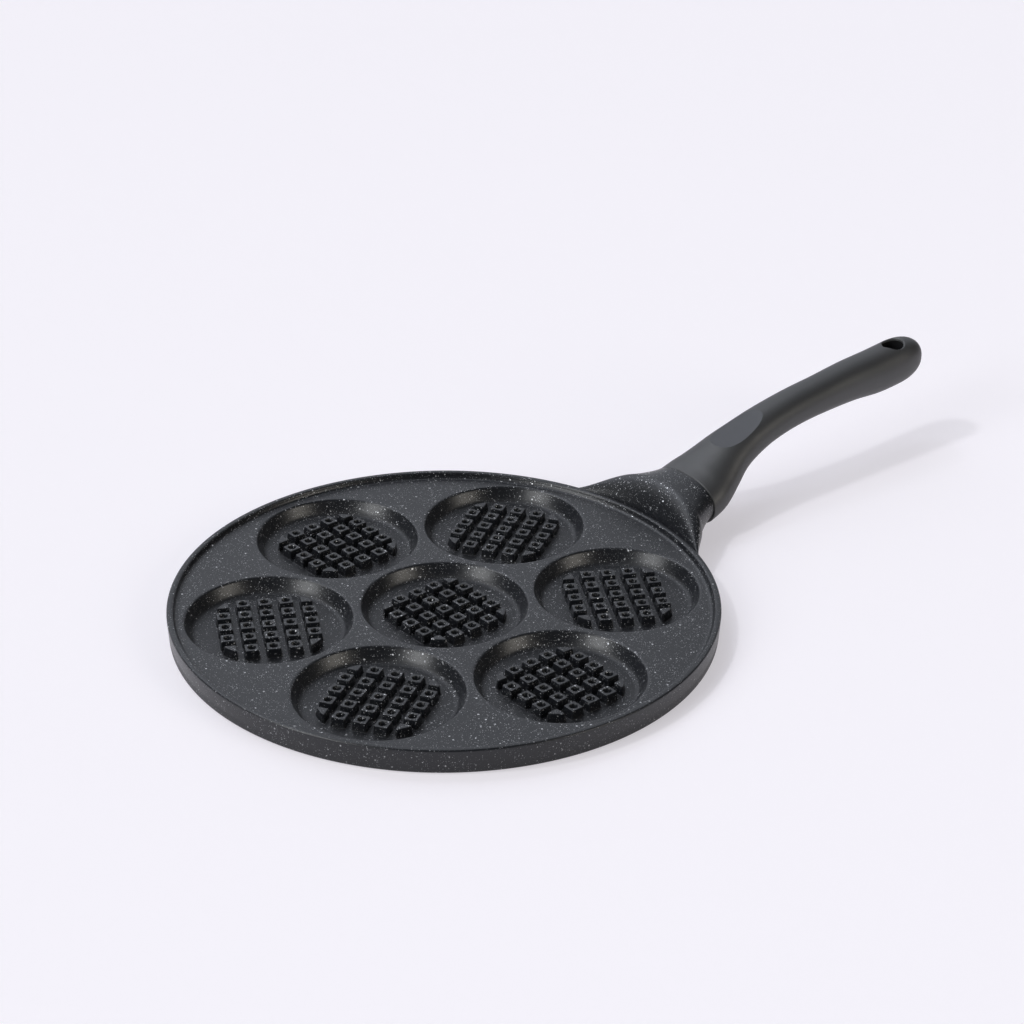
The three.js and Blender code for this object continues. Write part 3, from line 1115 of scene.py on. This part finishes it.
@dataclass
class Casting:
    """The plate with its cups, pegs, rim and skirt, and the neck and tang, in one metal."""

    plate_radius: float = 135.0
    cup_mouth_radius: float = 40.9
    cup_floor_radius: float = 36.9
    cup_floor_level: float = 2.9
    cup_spacing: float = 86.0
    cup_edge_ease: float = 1.1
    cup_floor_ease: float = 2.2
    deck_level: float = 10.1
    deck_underside: float = 6.9
    rim_width: float = 3.4
    rim_ease: float = 1.25
    rim_level: float = 13.0
    rim_foot_run: float = 0.5
    rim_foot_ease: float = 2.1
    skirt_thickness: float = 3.8
    skirt_taper: float = 0.9
    skirt_lift: float = 0.5
    skirt_ease: float = 0.7
    foot_radius: float = 38.2
    foot_ease: float = 0.9
    foot_wall_rise: float = 7.7
    foot_wall_run: float = 4.9
    under_ease: float = 0.6
    land: float = 0.12
    plate_sides: int = 240
    cup_sides: int = 96
    foot_sides: int = 64
    ease_steps: int = 6
    foot_steps: int = 3
    bore_radius: float = 2.3
    bore_reach: float = 11.4
    hard_edge: float = 40.0
    pegs: Pegs = field(default_factory=Pegs)
    neck: Neck = field(default_factory=Neck)
    tang: Tang = field(default_factory=Tang)

    def cup_places(self) -> list[tuple[float, float, float]]:
        """Gives each cup's middle and the turn of its pattern.

        Returns:
            Rows of x, y and turn.
        """
        ring = [(i + 0.5) * math.pi / 3 for i in range(6)]
        spacing = self.cup_spacing
        return [(0, 0, 0)] + [(spacing * math.cos(a), spacing * math.sin(a), a) for a in ring]

    def edge_profile(self) -> np.ndarray:
        """Draws the section from the deck over the rim, down the skirt and in below the deck.

        Returns:
            Rows of radius and height.
        """
        rim_inner = self.plate_radius - self.rim_width
        rim_foot = rim_inner - self.rim_foot_run
        skirt_inner = self.plate_radius - self.skirt_thickness
        under = skirt_inner - self.skirt_taper
        corners = [
            (rim_foot - self.rim_foot_ease - self.land, self.deck_level, 0),
            (rim_foot, self.deck_level, self.rim_foot_ease),
            (rim_inner, self.rim_level, self.rim_ease),
            (self.plate_radius, self.rim_level, self.rim_ease),
            (self.plate_radius - self.skirt_taper, self.skirt_lift, self.skirt_ease),
            (skirt_inner, self.skirt_lift, self.skirt_ease),
            (under, self.deck_underside, self.skirt_ease),
            (under - self.skirt_ease - self.land, self.deck_underside, 0),
        ]
        return eased(corners, self.ease_steps)

    def cup_profile(self) -> np.ndarray:
        """Draws a cup's inside from the deck to its floor."""
        corners = [
            (self.cup_mouth_radius + self.cup_edge_ease + self.land, self.deck_level, 0),
            (self.cup_mouth_radius, self.deck_level, self.cup_edge_ease),
            (self.cup_floor_radius, self.cup_floor_level, self.cup_floor_ease),
            (self.cup_floor_radius - self.cup_floor_ease - self.land, self.cup_floor_level, 0),
        ]
        return eased(corners, self.ease_steps)

    def foot_profile(self) -> np.ndarray:
        """Draws a cup's outside from below the deck to its foot.

        Returns:
            Rows of radius and height.
        """
        rise = self.deck_underside - self.foot_ease
        under = self.foot_radius + self.foot_wall_run / self.foot_wall_rise * rise
        corners = [
            (under + self.under_ease + self.land, self.deck_underside, 0),
            (under, self.deck_underside, self.under_ease),
            (self.foot_radius, 0, self.foot_ease),
            (self.foot_radius - self.foot_ease - self.land, 0, 0),
        ]
        return eased(corners, self.foot_steps)

    def plate(self) -> Skin:
        """Builds the plate, cups and pegs as one closed skin.

        The deck and its underside are level fills with seven round holes, and each hole carries a
        turned wall that ends in a floor or a foot.

        Returns:
            The closed skin.
        """
        skin, cup = Skin(), Skin()
        edge = turned(self.edge_profile(), self.plate_sides)
        skin.grid(edge)
        wall = turned(self.cup_profile(), self.cup_sides)
        cup.grid(wall)
        cup.take(self.pegs.stand(self.cup_floor_level, wall[-1]))
        outside = self.foot_profile()
        mouths, feet = [], []
        for x, y, turn in self.cup_places():
            skin.take(cup, turn, (x, y))
            mouths.append(wall[0] @ spin(turn) + [x, y, 0])
            foot = turned(outside, self.foot_sides, (x, y))
            skin.grid(foot)
            skin.fan(foot[-1])
            feet.append(foot[0])
        skin.fill([edge[0], *mouths])
        skin.fill([edge[-1], *feet])
        return skin

    def build(self, mouth_level: float) -> Piece:
        """Builds the whole casting.

        Args:
            mouth_level: Height of the middle of the handle's mouth.

        Returns:
            The casting, with the bore for the screw through its tang.
        """
        body = self.plate().piece("coated_casting")
        flare = self.neck.body().piece("neck")
        combine(flare, self.neck.inside().piece("neck_end"), Join.CUT)
        combine(flare, self.neck.spigot(mouth_level).piece("spigot"), Join.ADD)
        combine(flare, self.tang.bar().piece("tang", self.tang.carry()), Join.ADD)
        bore = drum(self.bore_radius, -self.bore_reach, self.bore_reach, self.tang.sides)
        combine(flare, bore.piece("bore", self.tang.carry(self.tang.screw_inset)), Join.CUT)
        combine(body, flare, Join.ADD)
        return body

    def dress(self, body: Piece) -> None:
        """Gives the casting its coating and lets it stand for its node.

        Args:
            body: The casting.
        """
        body.data.materials.clear()
        body.data.materials.append(SpeckledCoating().material())
        smooth(body, self.hard_edge)
        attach(body, next(iter(frame["bodies"])))
        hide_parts("pan_casting")


@dataclass
class Grip:
    """The moulded handle: ovals along a rising middle line, closed by a rounded tail."""

    start_x: float = 160.6
    mouth_level: float = 14.9
    length: float = 171.6
    rise: float = 29.7
    mouth: Spot = (22.9, 12.8)
    waist: Spot = (10.2, 8.9)
    tail: Spot = (11.4, 12.05)
    tail_round: float = 18.6
    tail_power: float = 0.58
    power: float = 2.2
    tilt_start_share: float = 0.1
    mouth_ease: float = 0.6
    # Shares of that ease by which the mouth's rings are drawn in and lie along the handle.
    mouth_shares: tuple[Spot, Spot] = ((1, 0), (0.3, 0.25))
    thumb_radius: float = 120.0
    thumb_depth: float = 2.0
    thumb_share: float = 0.242
    thumb_sides: int = 900
    hole_length: float = 13.2
    hole_radius: float = 5.85
    hole_inset: float = 12.5
    hole_ease: float = 1.0
    hole_norm: float = 9.0
    hole_sides: int = 64
    # Depths below the handle's skin and the widening at each, as shares of the hole's ease.
    hole_stages: tuple[Spot, ...] = ((-0.6, 1.5), (0.25, 0.6), (0.7, 0.15), (1.5, 0.0))
    fit_gap: float = 0.3
    socket_end_gap: float = 0.8
    screw_hole_radius: float = 2.3
    screw_hole_depth: float = 3.0
    counterbore_radius: float = 4.5
    counterbore_end: float = -30.0
    seat: float = -6.7
    sides: int = 120
    rows: int = 120
    tail_rows: int = 26
    hard_edge: float = 36.0
    ray_height: float = 200.0
    wall_lean: float = 0.1
    resin: MouldedResin = MouldedResin()
    rest: MouldedResin = MouldedResin(
        "thumb_rest", (0.040, 0.043, 0.051), (0.052, 0.055, 0.064), 0.55, 0.006
    )
    # Near-black and rough: painted shade on the hanging hole's upright walls.
    dull: MouldedResin = MouldedResin(
        "hole_wall_painted_shade", (0.008, 0.008, 0.009), (0.012, 0.012, 0.013), 0.85, 0.01, 0.1
    )
    # Place along the handle, rise, weight of the mouth's size and weight of the tail's size.
    stations: Table = (
        (0, 0, 1, 0),
        (0.053, 0.108, 0.92, 0),
        (0.111, 0.303, 0.65, 0),
        (0.169, 0.508, 0.38, 0),
        (0.228, 0.647, 0.22, 0),
        (0.298, 0.772, 0.12, 0),
        (0.374, 0.862, 0.07, 0),
        (0.461, 0.927, 0.03, 0.1),
        (0.566, 0.965, 0, 0.28),
        (0.695, 0.999, 0, 0.63),
        (0.811, 0.99, 0, 1),
        (1, 1.067, 0, 1),
    )

    def middle(self, share: np.ndarray) -> tuple[np.ndarray, np.ndarray]:
        """Gives the middle line and the half sizes at shares of the length.

        Args:
            share: Shares of the handle's length.

        Returns:
            Rows of x and height, and rows of half width and half height.
        """
        rise, mouth, tail = course(self.stations, share).T
        line = [self.start_x + self.length * share, self.mouth_level + self.rise * rise]
        weights = ((mouth, self.mouth), (1 - mouth - tail, self.waist), (tail, self.tail))
        return np.stack(line, axis=-1), sum(np.outer(*weight) for weight in weights)

    def slope(self, share: np.ndarray) -> np.ndarray:
        """Gives the slope of the middle line as an angle.

        Args:
            share: Shares of the handle's length.

        Returns:
            The angles, in radians.
        """
        step = 1 / self.length
        before, _ = self.middle(np.maximum(share - step, 0))
        after, _ = self.middle(np.minimum(share + step, 1))
        change = after - before
        return np.arctan2(change[:, 1], change[:, 0])

    def ovals(self) -> np.ndarray:
        """Gives the handle's grid of points.

        The oval at a share of the length is tilted by the slope of the middle line, and over the
        tail its size falls with a low power of the cosine of an angle whose sine carries it to
        the tip.

        Returns:
            The grid of points.
        """
        tail_share = 1 - self.tail_round / self.length
        turn = np.linspace(0, math.pi / 2, self.tail_rows + 1)[:-1]
        stem = np.linspace(0, tail_share, self.rows + 1)[:-1]
        share = np.concatenate([stem, tail_share + (1 - tail_share) * np.sin(turn)])
        size = np.concatenate([np.ones(self.rows), np.cos(turn) ** self.tail_power])[:, None]
        line, half = self.middle(share)
        start = np.minimum(share / self.tilt_start_share, 1)
        tilt = self.slope(share) * (start * np.minimum((1 - share) / (1 - tail_share), 1))
        lateral, lift = oval(self.sides, half[:, :1] * size, half[:, 1:] * size, self.power)
        forward, up = np.sin(tilt)[:, None], np.cos(tilt)[:, None]
        return xyz(line[:, :1] - forward * lift, lateral, line[:, 1:] + up * lift)

    def body(self) -> Skin:
        """Builds the outer form, closed at both ends, with an eased edge round the mouth.

        Returns:
            The closed skin.
        """
        rings = self.ovals()
        middle = np.array([self.start_x, 0, self.mouth_level])
        shrink = self.mouth_ease / self.mouth[1]
        edge = [
            (rings[0] - middle) * (1 - shrink * inset) + middle + [self.mouth_ease * back, 0, 0]
            for inset, back in self.mouth_shares
        ]
        rings[0] = (rings[0] + rings[1]) / 2
        tip = rings[-1].mean(axis=0)
        tip[0] = self.start_x + self.length
        return Skin.closed(np.concatenate([np.stack(edge), rings]), None, tip)

    def thumb_roller(self) -> Skin:
        """Builds the large roller that lies across the handle and leaves the thumb rest.

        Returns:
            The closed skin.
        """
        share = np.array([self.thumb_share])
        (line,), (half,) = self.middle(share)
        slope = self.slope(share)[0]
        reach = half[1] - self.thumb_depth + self.thumb_radius
        angle = around(self.thumb_sides)
        x = line[0] - reach * math.sin(slope) + self.thumb_radius * np.cos(angle)
        z = line[1] + reach * math.cos(slope) + self.thumb_radius * np.sin(angle)
        return Skin.closed(np.stack([xyz(x, y, z) for y in (-self.mouth[0], 0, self.mouth[0])]))

    def hole_outline(self, widening: float) -> np.ndarray:
        """Draws the drop shaped hole, widened all round: an arc and two sides that touch it.

        Args:
            widening: How much wider than the hole it is, all round.

        Returns:
            Rows of x and y.
        """
        middle = self.start_x + self.length - self.hole_inset - self.hole_radius
        angle = around(self.hole_sides)
        ray = np.stack([np.cos(angle), np.sin(angle)], axis=-1)
        touch = math.asin(self.hole_radius / (self.hole_length - self.hole_radius))
        sine, cosine = math.sin(touch), math.cos(touch)
        toward = np.maximum(ray @ np.array([[-sine, cosine], [-sine, -cosine]]).T, NEARLY_NOTHING)
        wide = self.hole_radius + widening
        straight = ((wide / toward) ** -self.hole_norm).sum(axis=1) ** (-1 / self.hole_norm)
        facing = np.abs(np.angle(np.exp(1j * (angle - math.pi)))) < math.pi / 2 - touch
        return ray * np.where(facing, straight, wide)[:, None] + [middle, 0]

    def hole_cutter(self, body: Piece) -> Skin:
        """Builds the cutter for the hanging hole, flared where it meets the handle's skin.

        Each ring is the drop outline, widened by the ease where it leaves the skin and less below
        it, at the skin's own height found by casting rays down and up. The ends are raised, so
        that they stand clear of the skin.

        Args:
            body: The handle's outer form.

        Returns:
            The closed skin.
        """
        tree = BVHTree.FromObject(body, bpy.context.evaluated_depsgraph_get())
        rings = []
        for side in (1, -1):
            levels = []
            for depth, widening in self.hole_stages:
                outline = self.hole_outline(self.hole_ease * widening)
                height = np.array([self.skin_height(tree, point, side) for point in outline])
                levels.append(xyz(*outline.T, height - side * depth * self.hole_ease))
            rings.extend(levels[::side])
        first, last = (ring.mean(axis=0) for ring in (rings[0], rings[-1]))
        raised = np.array([0, 0, self.hole_radius])
        return Skin.closed(np.stack(rings), first + raised, last - raised)

    def skin_height(self, tree: BVHTree, point: np.ndarray, side: int) -> float:
        """Finds the height of the handle's skin over or under a point, in millimetres.

        Args:
            tree: The handle's skin.
            point: The point's x and y.
            side: 1 for the upper skin, -1 for the lower one.

        Returns:
            The height.
        """
        start = Vector((*point, side * self.ray_height)) * MILLIMETRE
        found = tree.ray_cast(start, Vector((0, 0, -side)))[0]
        if found is None:
            raise ValueError("the hanging hole reaches past the handle")
        return found.z / MILLIMETRE

    def build(self, neck: Neck, tang: Tang) -> Piece:
        """Builds the handle with its recess, socket, screw hole, thumb rest and hanging hole.

        Args:
            neck: The neck, whose spigot seats in the mouth.
            tang: The tang, which fills the socket.

        Returns:
            The handle, with the thumb rest in a finish of its own.
        """
        resin, rest, dull = (look.material() for look in (self.resin, self.rest, self.dull))
        body = self.body().piece("moulded_handle")
        hole = self.hole_cutter(body)
        screw_hole = self.screw_hole_radius, self.seat - self.screw_hole_depth, 0, tang.sides
        counterbore = self.counterbore_radius, self.counterbore_end, self.seat, tang.sides
        carry = tang.carry(tang.screw_inset)
        cutters = [
            neck.spigot(self.mouth_level, self.fit_gap).piece("recess"),
            tang.bar(self.fit_gap, self.socket_end_gap).piece("socket", tang.carry()),
            drum(*screw_hole).piece("screw_hole", carry),
            drum(*counterbore).piece("counterbore", carry),
            hole.piece("hole"),
        ]
        roller = self.thumb_roller().piece("roller")
        for cutter in [body, *cutters]:
            cutter.data.materials.append(resin)
        # The hanging hole's upright walls take the near-black copy, as painted shade inside the hole.
        cutters[-1].data.materials.append(dull)
        for face in cutters[-1].data.polygons:
            face.material_index = int(abs(face.normal.z) < self.wall_lean)
        roller.data.materials.append(rest)
        for cutter in [*cutters, roller]:
            combine(body, cutter, Join.CUT)
        return body

    def dress(self, body: Piece) -> None:
        """Shades the handle and lets it stand for its node.

        Args:
            body: The handle.
        """
        smooth(body, self.hard_edge)
        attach(body, next(iter(frame["bodies"])))
        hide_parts("handle_grip")


@dataclass
class Fastening:
    """The screw with its cross recess and thread, and the flat and spring washers."""

    seat: float = -7.0
    fit_gap: float = 0.3
    screw_radius: float = 2.0
    head_radius: float = 3.8
    head_height: float = 2.6
    head_ease: float = 1.7
    head_edge_ease: float = 0.2
    head_flat: float = 0.4
    thread_pitch: float = 0.7
    thread_depth: float = 0.26
    thread_start: float = 0.8
    thread_top: float = 2.8
    thread_rows: int = 8
    recess_length: float = 4.4
    recess_width: float = 1.1
    # Size and rise of the recess's two ends.
    recess_ends: tuple[Spot, Spot] = ((1.1, -0.5), (0.6, 1.4))
    washer_radius: float = 4.0
    washer_thickness: float = 0.9
    washer_ease: float = 0.12
    spring_radius: float = 3.6
    spring_thickness: float = 1.1
    spring_ease: float = 0.15
    spring_split: float = 0.9
    spring_climb: float = 0.1
    sides: int = 64
    head_steps: int = 5
    washer_steps: int = 3
    hard_edge: float = 35.0

    @property
    def bore(self) -> float:
        """Gives the radius of the washers' holes."""
        return self.screw_radius + self.fit_gap

    @property
    def head_top(self) -> float:
        """Gives the height where the screw's head ends and its shank starts."""
        return self.seat - self.washer_thickness - self.spring_thickness - 2 * self.fit_gap

    def screw(self) -> Skin:
        """Builds the screw in the frame of its hole.

        The shank's radius is the screw's, less half the thread's depth times one minus the cosine
        of the height in turns of the thread less the angle.

        Returns:
            The closed skin.
        """
        head_end = self.head_top - self.head_height
        corners = [
            (self.head_flat, head_end, 0),
            (self.head_radius, head_end, self.head_ease),
            (self.head_radius, self.head_top, self.head_edge_ease),
            (self.screw_radius, self.head_top, 0),
        ]
        start, step = self.head_top + self.thread_start, self.thread_pitch / self.thread_rows
        height, angle = np.arange(start, self.thread_top, step)[:, None], around(self.sides)
        wave = np.cos(2 * np.pi * height / self.thread_pitch - angle)
        radius = self.screw_radius - self.thread_depth / 2 * (1 - wave)
        shank = xyz(radius * np.cos(angle), radius * np.sin(angle), height)
        head = turned(eased(corners, self.head_steps), self.sides)
        return Skin.closed(np.concatenate([head, shank]))

    def recess(self) -> Skin:
        """Builds the cutter of the cross recess: a four armed star that narrows upwards.

        Returns:
            The closed skin.
        """
        head_end = self.head_top - self.head_height
        half, arm = self.recess_width / 2, self.recess_length / 2
        quarter = np.array([[arm, -half, 0], [arm, half, 0], [half, half, 0]])
        star = np.vstack([quarter @ spin(turn) for turn in np.arange(4) * math.pi / 2])[:, :2]
        ends = self.recess_ends
        return Skin.closed(np.stack([xyz(*(star * size).T, head_end + rise) for size, rise in ends]))

    def washer(self) -> Skin:
        """Builds the flat washer, an eased rectangle turned about its bore.

        Returns:
            The closed skin.
        """
        top, ease = self.seat, self.washer_ease
        bottom = top - self.washer_thickness
        middle = (self.bore + self.washer_radius) / 2
        corners = [
            (middle, bottom, 0),
            (self.washer_radius, bottom, ease),
            (self.washer_radius, top, ease),
            (self.bore, top, ease),
            (self.bore, bottom, ease),
            (middle, bottom, 0),
        ]
        skin = Skin()
        skin.grid(turned(eased(corners, self.washer_steps), self.sides))
        return skin

    def spring(self) -> Skin:
        """Builds the spring washer: an eased rectangle swept round an open turn that climbs.

        Returns:
            The closed skin.
        """
        top, ease = self.seat - self.washer_thickness - self.fit_gap, self.spring_ease
        bottom = top - self.spring_thickness
        corners = [
            (self.bore, bottom, ease),
            (self.spring_radius, bottom, ease),
            (self.spring_radius, top, ease),
            (self.bore, top, ease),
            (self.bore, (top + bottom) / 2, 0),
        ]
        radius, height = eased(corners, self.washer_steps).T
        gap = self.spring_split / self.spring_radius
        angle = np.linspace(gap / 2, 2 * np.pi - gap / 2, self.sides)[:, None]
        climb = self.spring_climb * (angle / np.pi - 1)
        return Skin.closed(xyz(radius * np.cos(angle), radius * np.sin(angle), height + climb))

    def build(self, tang: Tang) -> list[Piece]:
        """Builds the three pieces where the tang's bore holds them.

        Args:
            tang: The tang.

        Returns:
            The screw, the flat washer and the spring washer.
        """
        carry = tang.carry(tang.screw_inset)
        screw = self.screw().piece("pan_head_screw", carry)
        combine(screw, self.recess().piece("cross_recess", carry), Join.CUT)
        washer = self.washer().piece("plain_washer", carry)
        return [screw, washer, self.spring().piece("split_washer", carry)]

    def dress(self, pieces: list[Piece]) -> None:
        """Plates the pieces and lets each stand for its node."""
        steel = PlatedSteel().material()
        for piece, node in zip(pieces, ("handle_screw", "flat_washer", "spring_washer")):
            piece.data.materials.clear()
            piece.data.materials.append(steel)
            smooth(piece, self.hard_edge)
            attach(piece, next(iter(frame["bodies"])))
            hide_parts(node)


@dataclass(frozen=True)
class Glow:
    """A soft bright part of the room.

    Attributes:
        direction: Where its middle is, as an angle about the Z axis and an angle up.
        inner: Angle from the middle within which it is at its full level.
        outer: Angle from the middle past which it ends.
        level: Its radiance.
        tint: Its colour.
    """

    direction: Spot
    inner: float
    outer: float
    level: float
    tint: Colour = (0.93, 0.97, 1.07)


@dataclass(frozen=True)
class Box:
    """A square soft box.

    Attributes:
        name: Its name.
        direction: Where it stands, as an angle about the Z axis and an angle up.
        width: Its width and height in metres.
        power: Its power in watts.
        colour: The colour of its light.
    """

    name: str
    direction: Spot
    width: float
    power: float
    colour: Colour


@dataclass
class Studio:
    """The camera, lamps, surroundings and pale floor, with distances in metres."""

    camera_place: tuple[float, float, float] = (-0.76778, -0.94485, 0.72404)
    camera_target: tuple[float, float, float] = (0.098105, 0.064370, 0.0)
    camera_roll: float = 0.509
    camera_lens: float = 101.59
    camera_clip: Spot = (0.05, 50)
    sensor: float = 36.0
    key_direction: Spot = (149.0, 54.0)
    key_distance: float = 2.0
    key_strength: float = 0.62
    key_spread: float = 5.5
    floor_radius: float = 18.0
    floor_rings: int = 24
    floor_sides: int = 96
    box_distance: float = 12.0
    boxes: tuple[Box, ...] = (
        Box("warm_box", (-69, 24), 5.4, 340.0, (1.0, 0.95, 0.87)),
        Box("cool_box", (178, 23), 5.8, 670.0, (0.97, 0.985, 1.0)),
    )
    room_level: float = 0.06
    glows: tuple[Glow, ...] = (
        Glow((53, 28), 20, 55, 0.6),
        Glow((149, 54), 6, 22, 1.2),
        Glow((85, 48), 10, 34, 0.8),
        Glow((94, 55), 2, 7, 7.0),
    )

    @staticmethod
    def away(direction: Spot, distance: float) -> Vector:
        """Gives the point at a direction and a distance from the middle of the pan.

        Args:
            direction: An angle about the Z axis and an angle up.
            distance: How far away.

        Returns:
            The point.
        """
        turn, lift = (math.radians(angle) for angle in direction)
        flat = distance * math.cos(lift)
        return Vector((flat * math.cos(turn), flat * math.sin(turn), distance * math.sin(lift)))

    @staticmethod
    def aim(made: Piece, place: Vector, target: Vector, roll: float = 0) -> None:
        """Sets an object down so that it looks from one point to another.

        Args:
            made: The object.
            place: Where it is.
            target: What it looks at.
            roll: Its turn about that line, in degrees.
        """
        turn = (target - place).to_track_quat("-Z", "Y")
        rolled = Matrix.Rotation(math.radians(roll), 4, "Z")
        made.matrix_world = Matrix.LocRotScale(place, turn, None) @ rolled

    def camera(self) -> None:
        """Sets up the camera."""
        lens = bpy.data.cameras.new("camera")
        lens.lens, lens.sensor_width = self.camera_lens, self.sensor
        lens.clip_start, lens.clip_end = self.camera_clip
        made = linked("camera", lens)
        self.aim(made, Vector(self.camera_place), Vector(self.camera_target), self.camera_roll)
        bpy.context.scene.camera = made

    def key(self) -> None:
        """Sets up the key lamp, which casts the shadow of the handle."""
        lamp = bpy.data.lights.new("key", "SUN")
        lamp.energy, lamp.angle = self.key_strength, math.radians(self.key_spread)
        self.aim(linked("key", lamp), self.away(self.key_direction, self.key_distance), Vector())

    def soft_box(self, box: Box) -> None:
        """Sets up a soft box.

        Args:
            box: Its sizes.
        """
        lamp = bpy.data.lights.new(box.name, "AREA")
        lamp.shape = "SQUARE"
        lamp.size, lamp.energy, lamp.color = box.width, box.power, box.colour
        made = linked(box.name, lamp)
        self.aim(made, self.away(box.direction, self.box_distance), Vector())
        made.visible_camera = False

    def surroundings(self) -> None:
        """Sets up the room: dark grey, with soft glows."""
        world = bpy.data.worlds.new("room")
        world.use_nodes = True
        bpy.context.scene.world = world
        room = Nodes(world.node_tree)
        toward = Arrow(room, room.node("ShaderNodeTexCoord").outputs["Generated"])
        colour = Arrow(room, room.node("ShaderNodeRGB").outputs[0])
        colour.socket.default_value = (self.room_level,) * 3 + (1,)
        for glow in self.glows:
            low, high = (math.cos(math.radians(angle)) for angle in (glow.outer, glow.inner))
            share = toward.dot(tuple(self.away(glow.direction, 1.0))).between(low, high)
            colour = colour + Arrow(room, room.blend(share, (0, 0, 0), glow.tint)) * glow.level
        room.feed(world.node_tree.nodes["Background"].inputs["Color"], colour)

    def floor(self) -> None:
        """Lays the floor, a wide round sheet whose rings widen outwards."""
        share = np.linspace(0, 1, self.floor_rings)[1:, None]
        radius = self.floor_radius / MILLIMETRE * share**2
        rings = turned(np.hstack([radius, np.zeros_like(radius)]), self.floor_sides)
        skin = Skin()
        skin.grid(rings)
        skin.fan(rings[0])
        made = skin.piece("floor")
        made.data.materials.append(Paper().material())

    def build(self) -> None:
        """Builds the whole studio."""
        self.camera()
        self.key()
        for box in self.boxes:
            self.soft_box(box)
        self.surroundings()
        self.floor()
        bpy.context.scene.view_settings.view_transform = "Standard"


def report(piece: Piece) -> None:
    """Logs how many triangles a piece has."""
    piece.data.calc_loop_triangles()
    log.info("%s: %d triangles", piece.name, len(piece.data.loop_triangles))


def main() -> None:
    """Builds the pan in the frame and the studio round it."""
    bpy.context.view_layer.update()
    casting = Casting()
    grip = Grip()
    fastening = Fastening()
    plate = casting.build(grip.mouth_level)
    casting.dress(plate)
    handle = grip.build(casting.neck, casting.tang)
    grip.dress(handle)
    pieces = fastening.build(casting.tang)
    fastening.dress(pieces)
    for piece in (plate, handle, *pieces):
        report(piece)
    Studio().build()


if __name__ == "__main__":
    main()
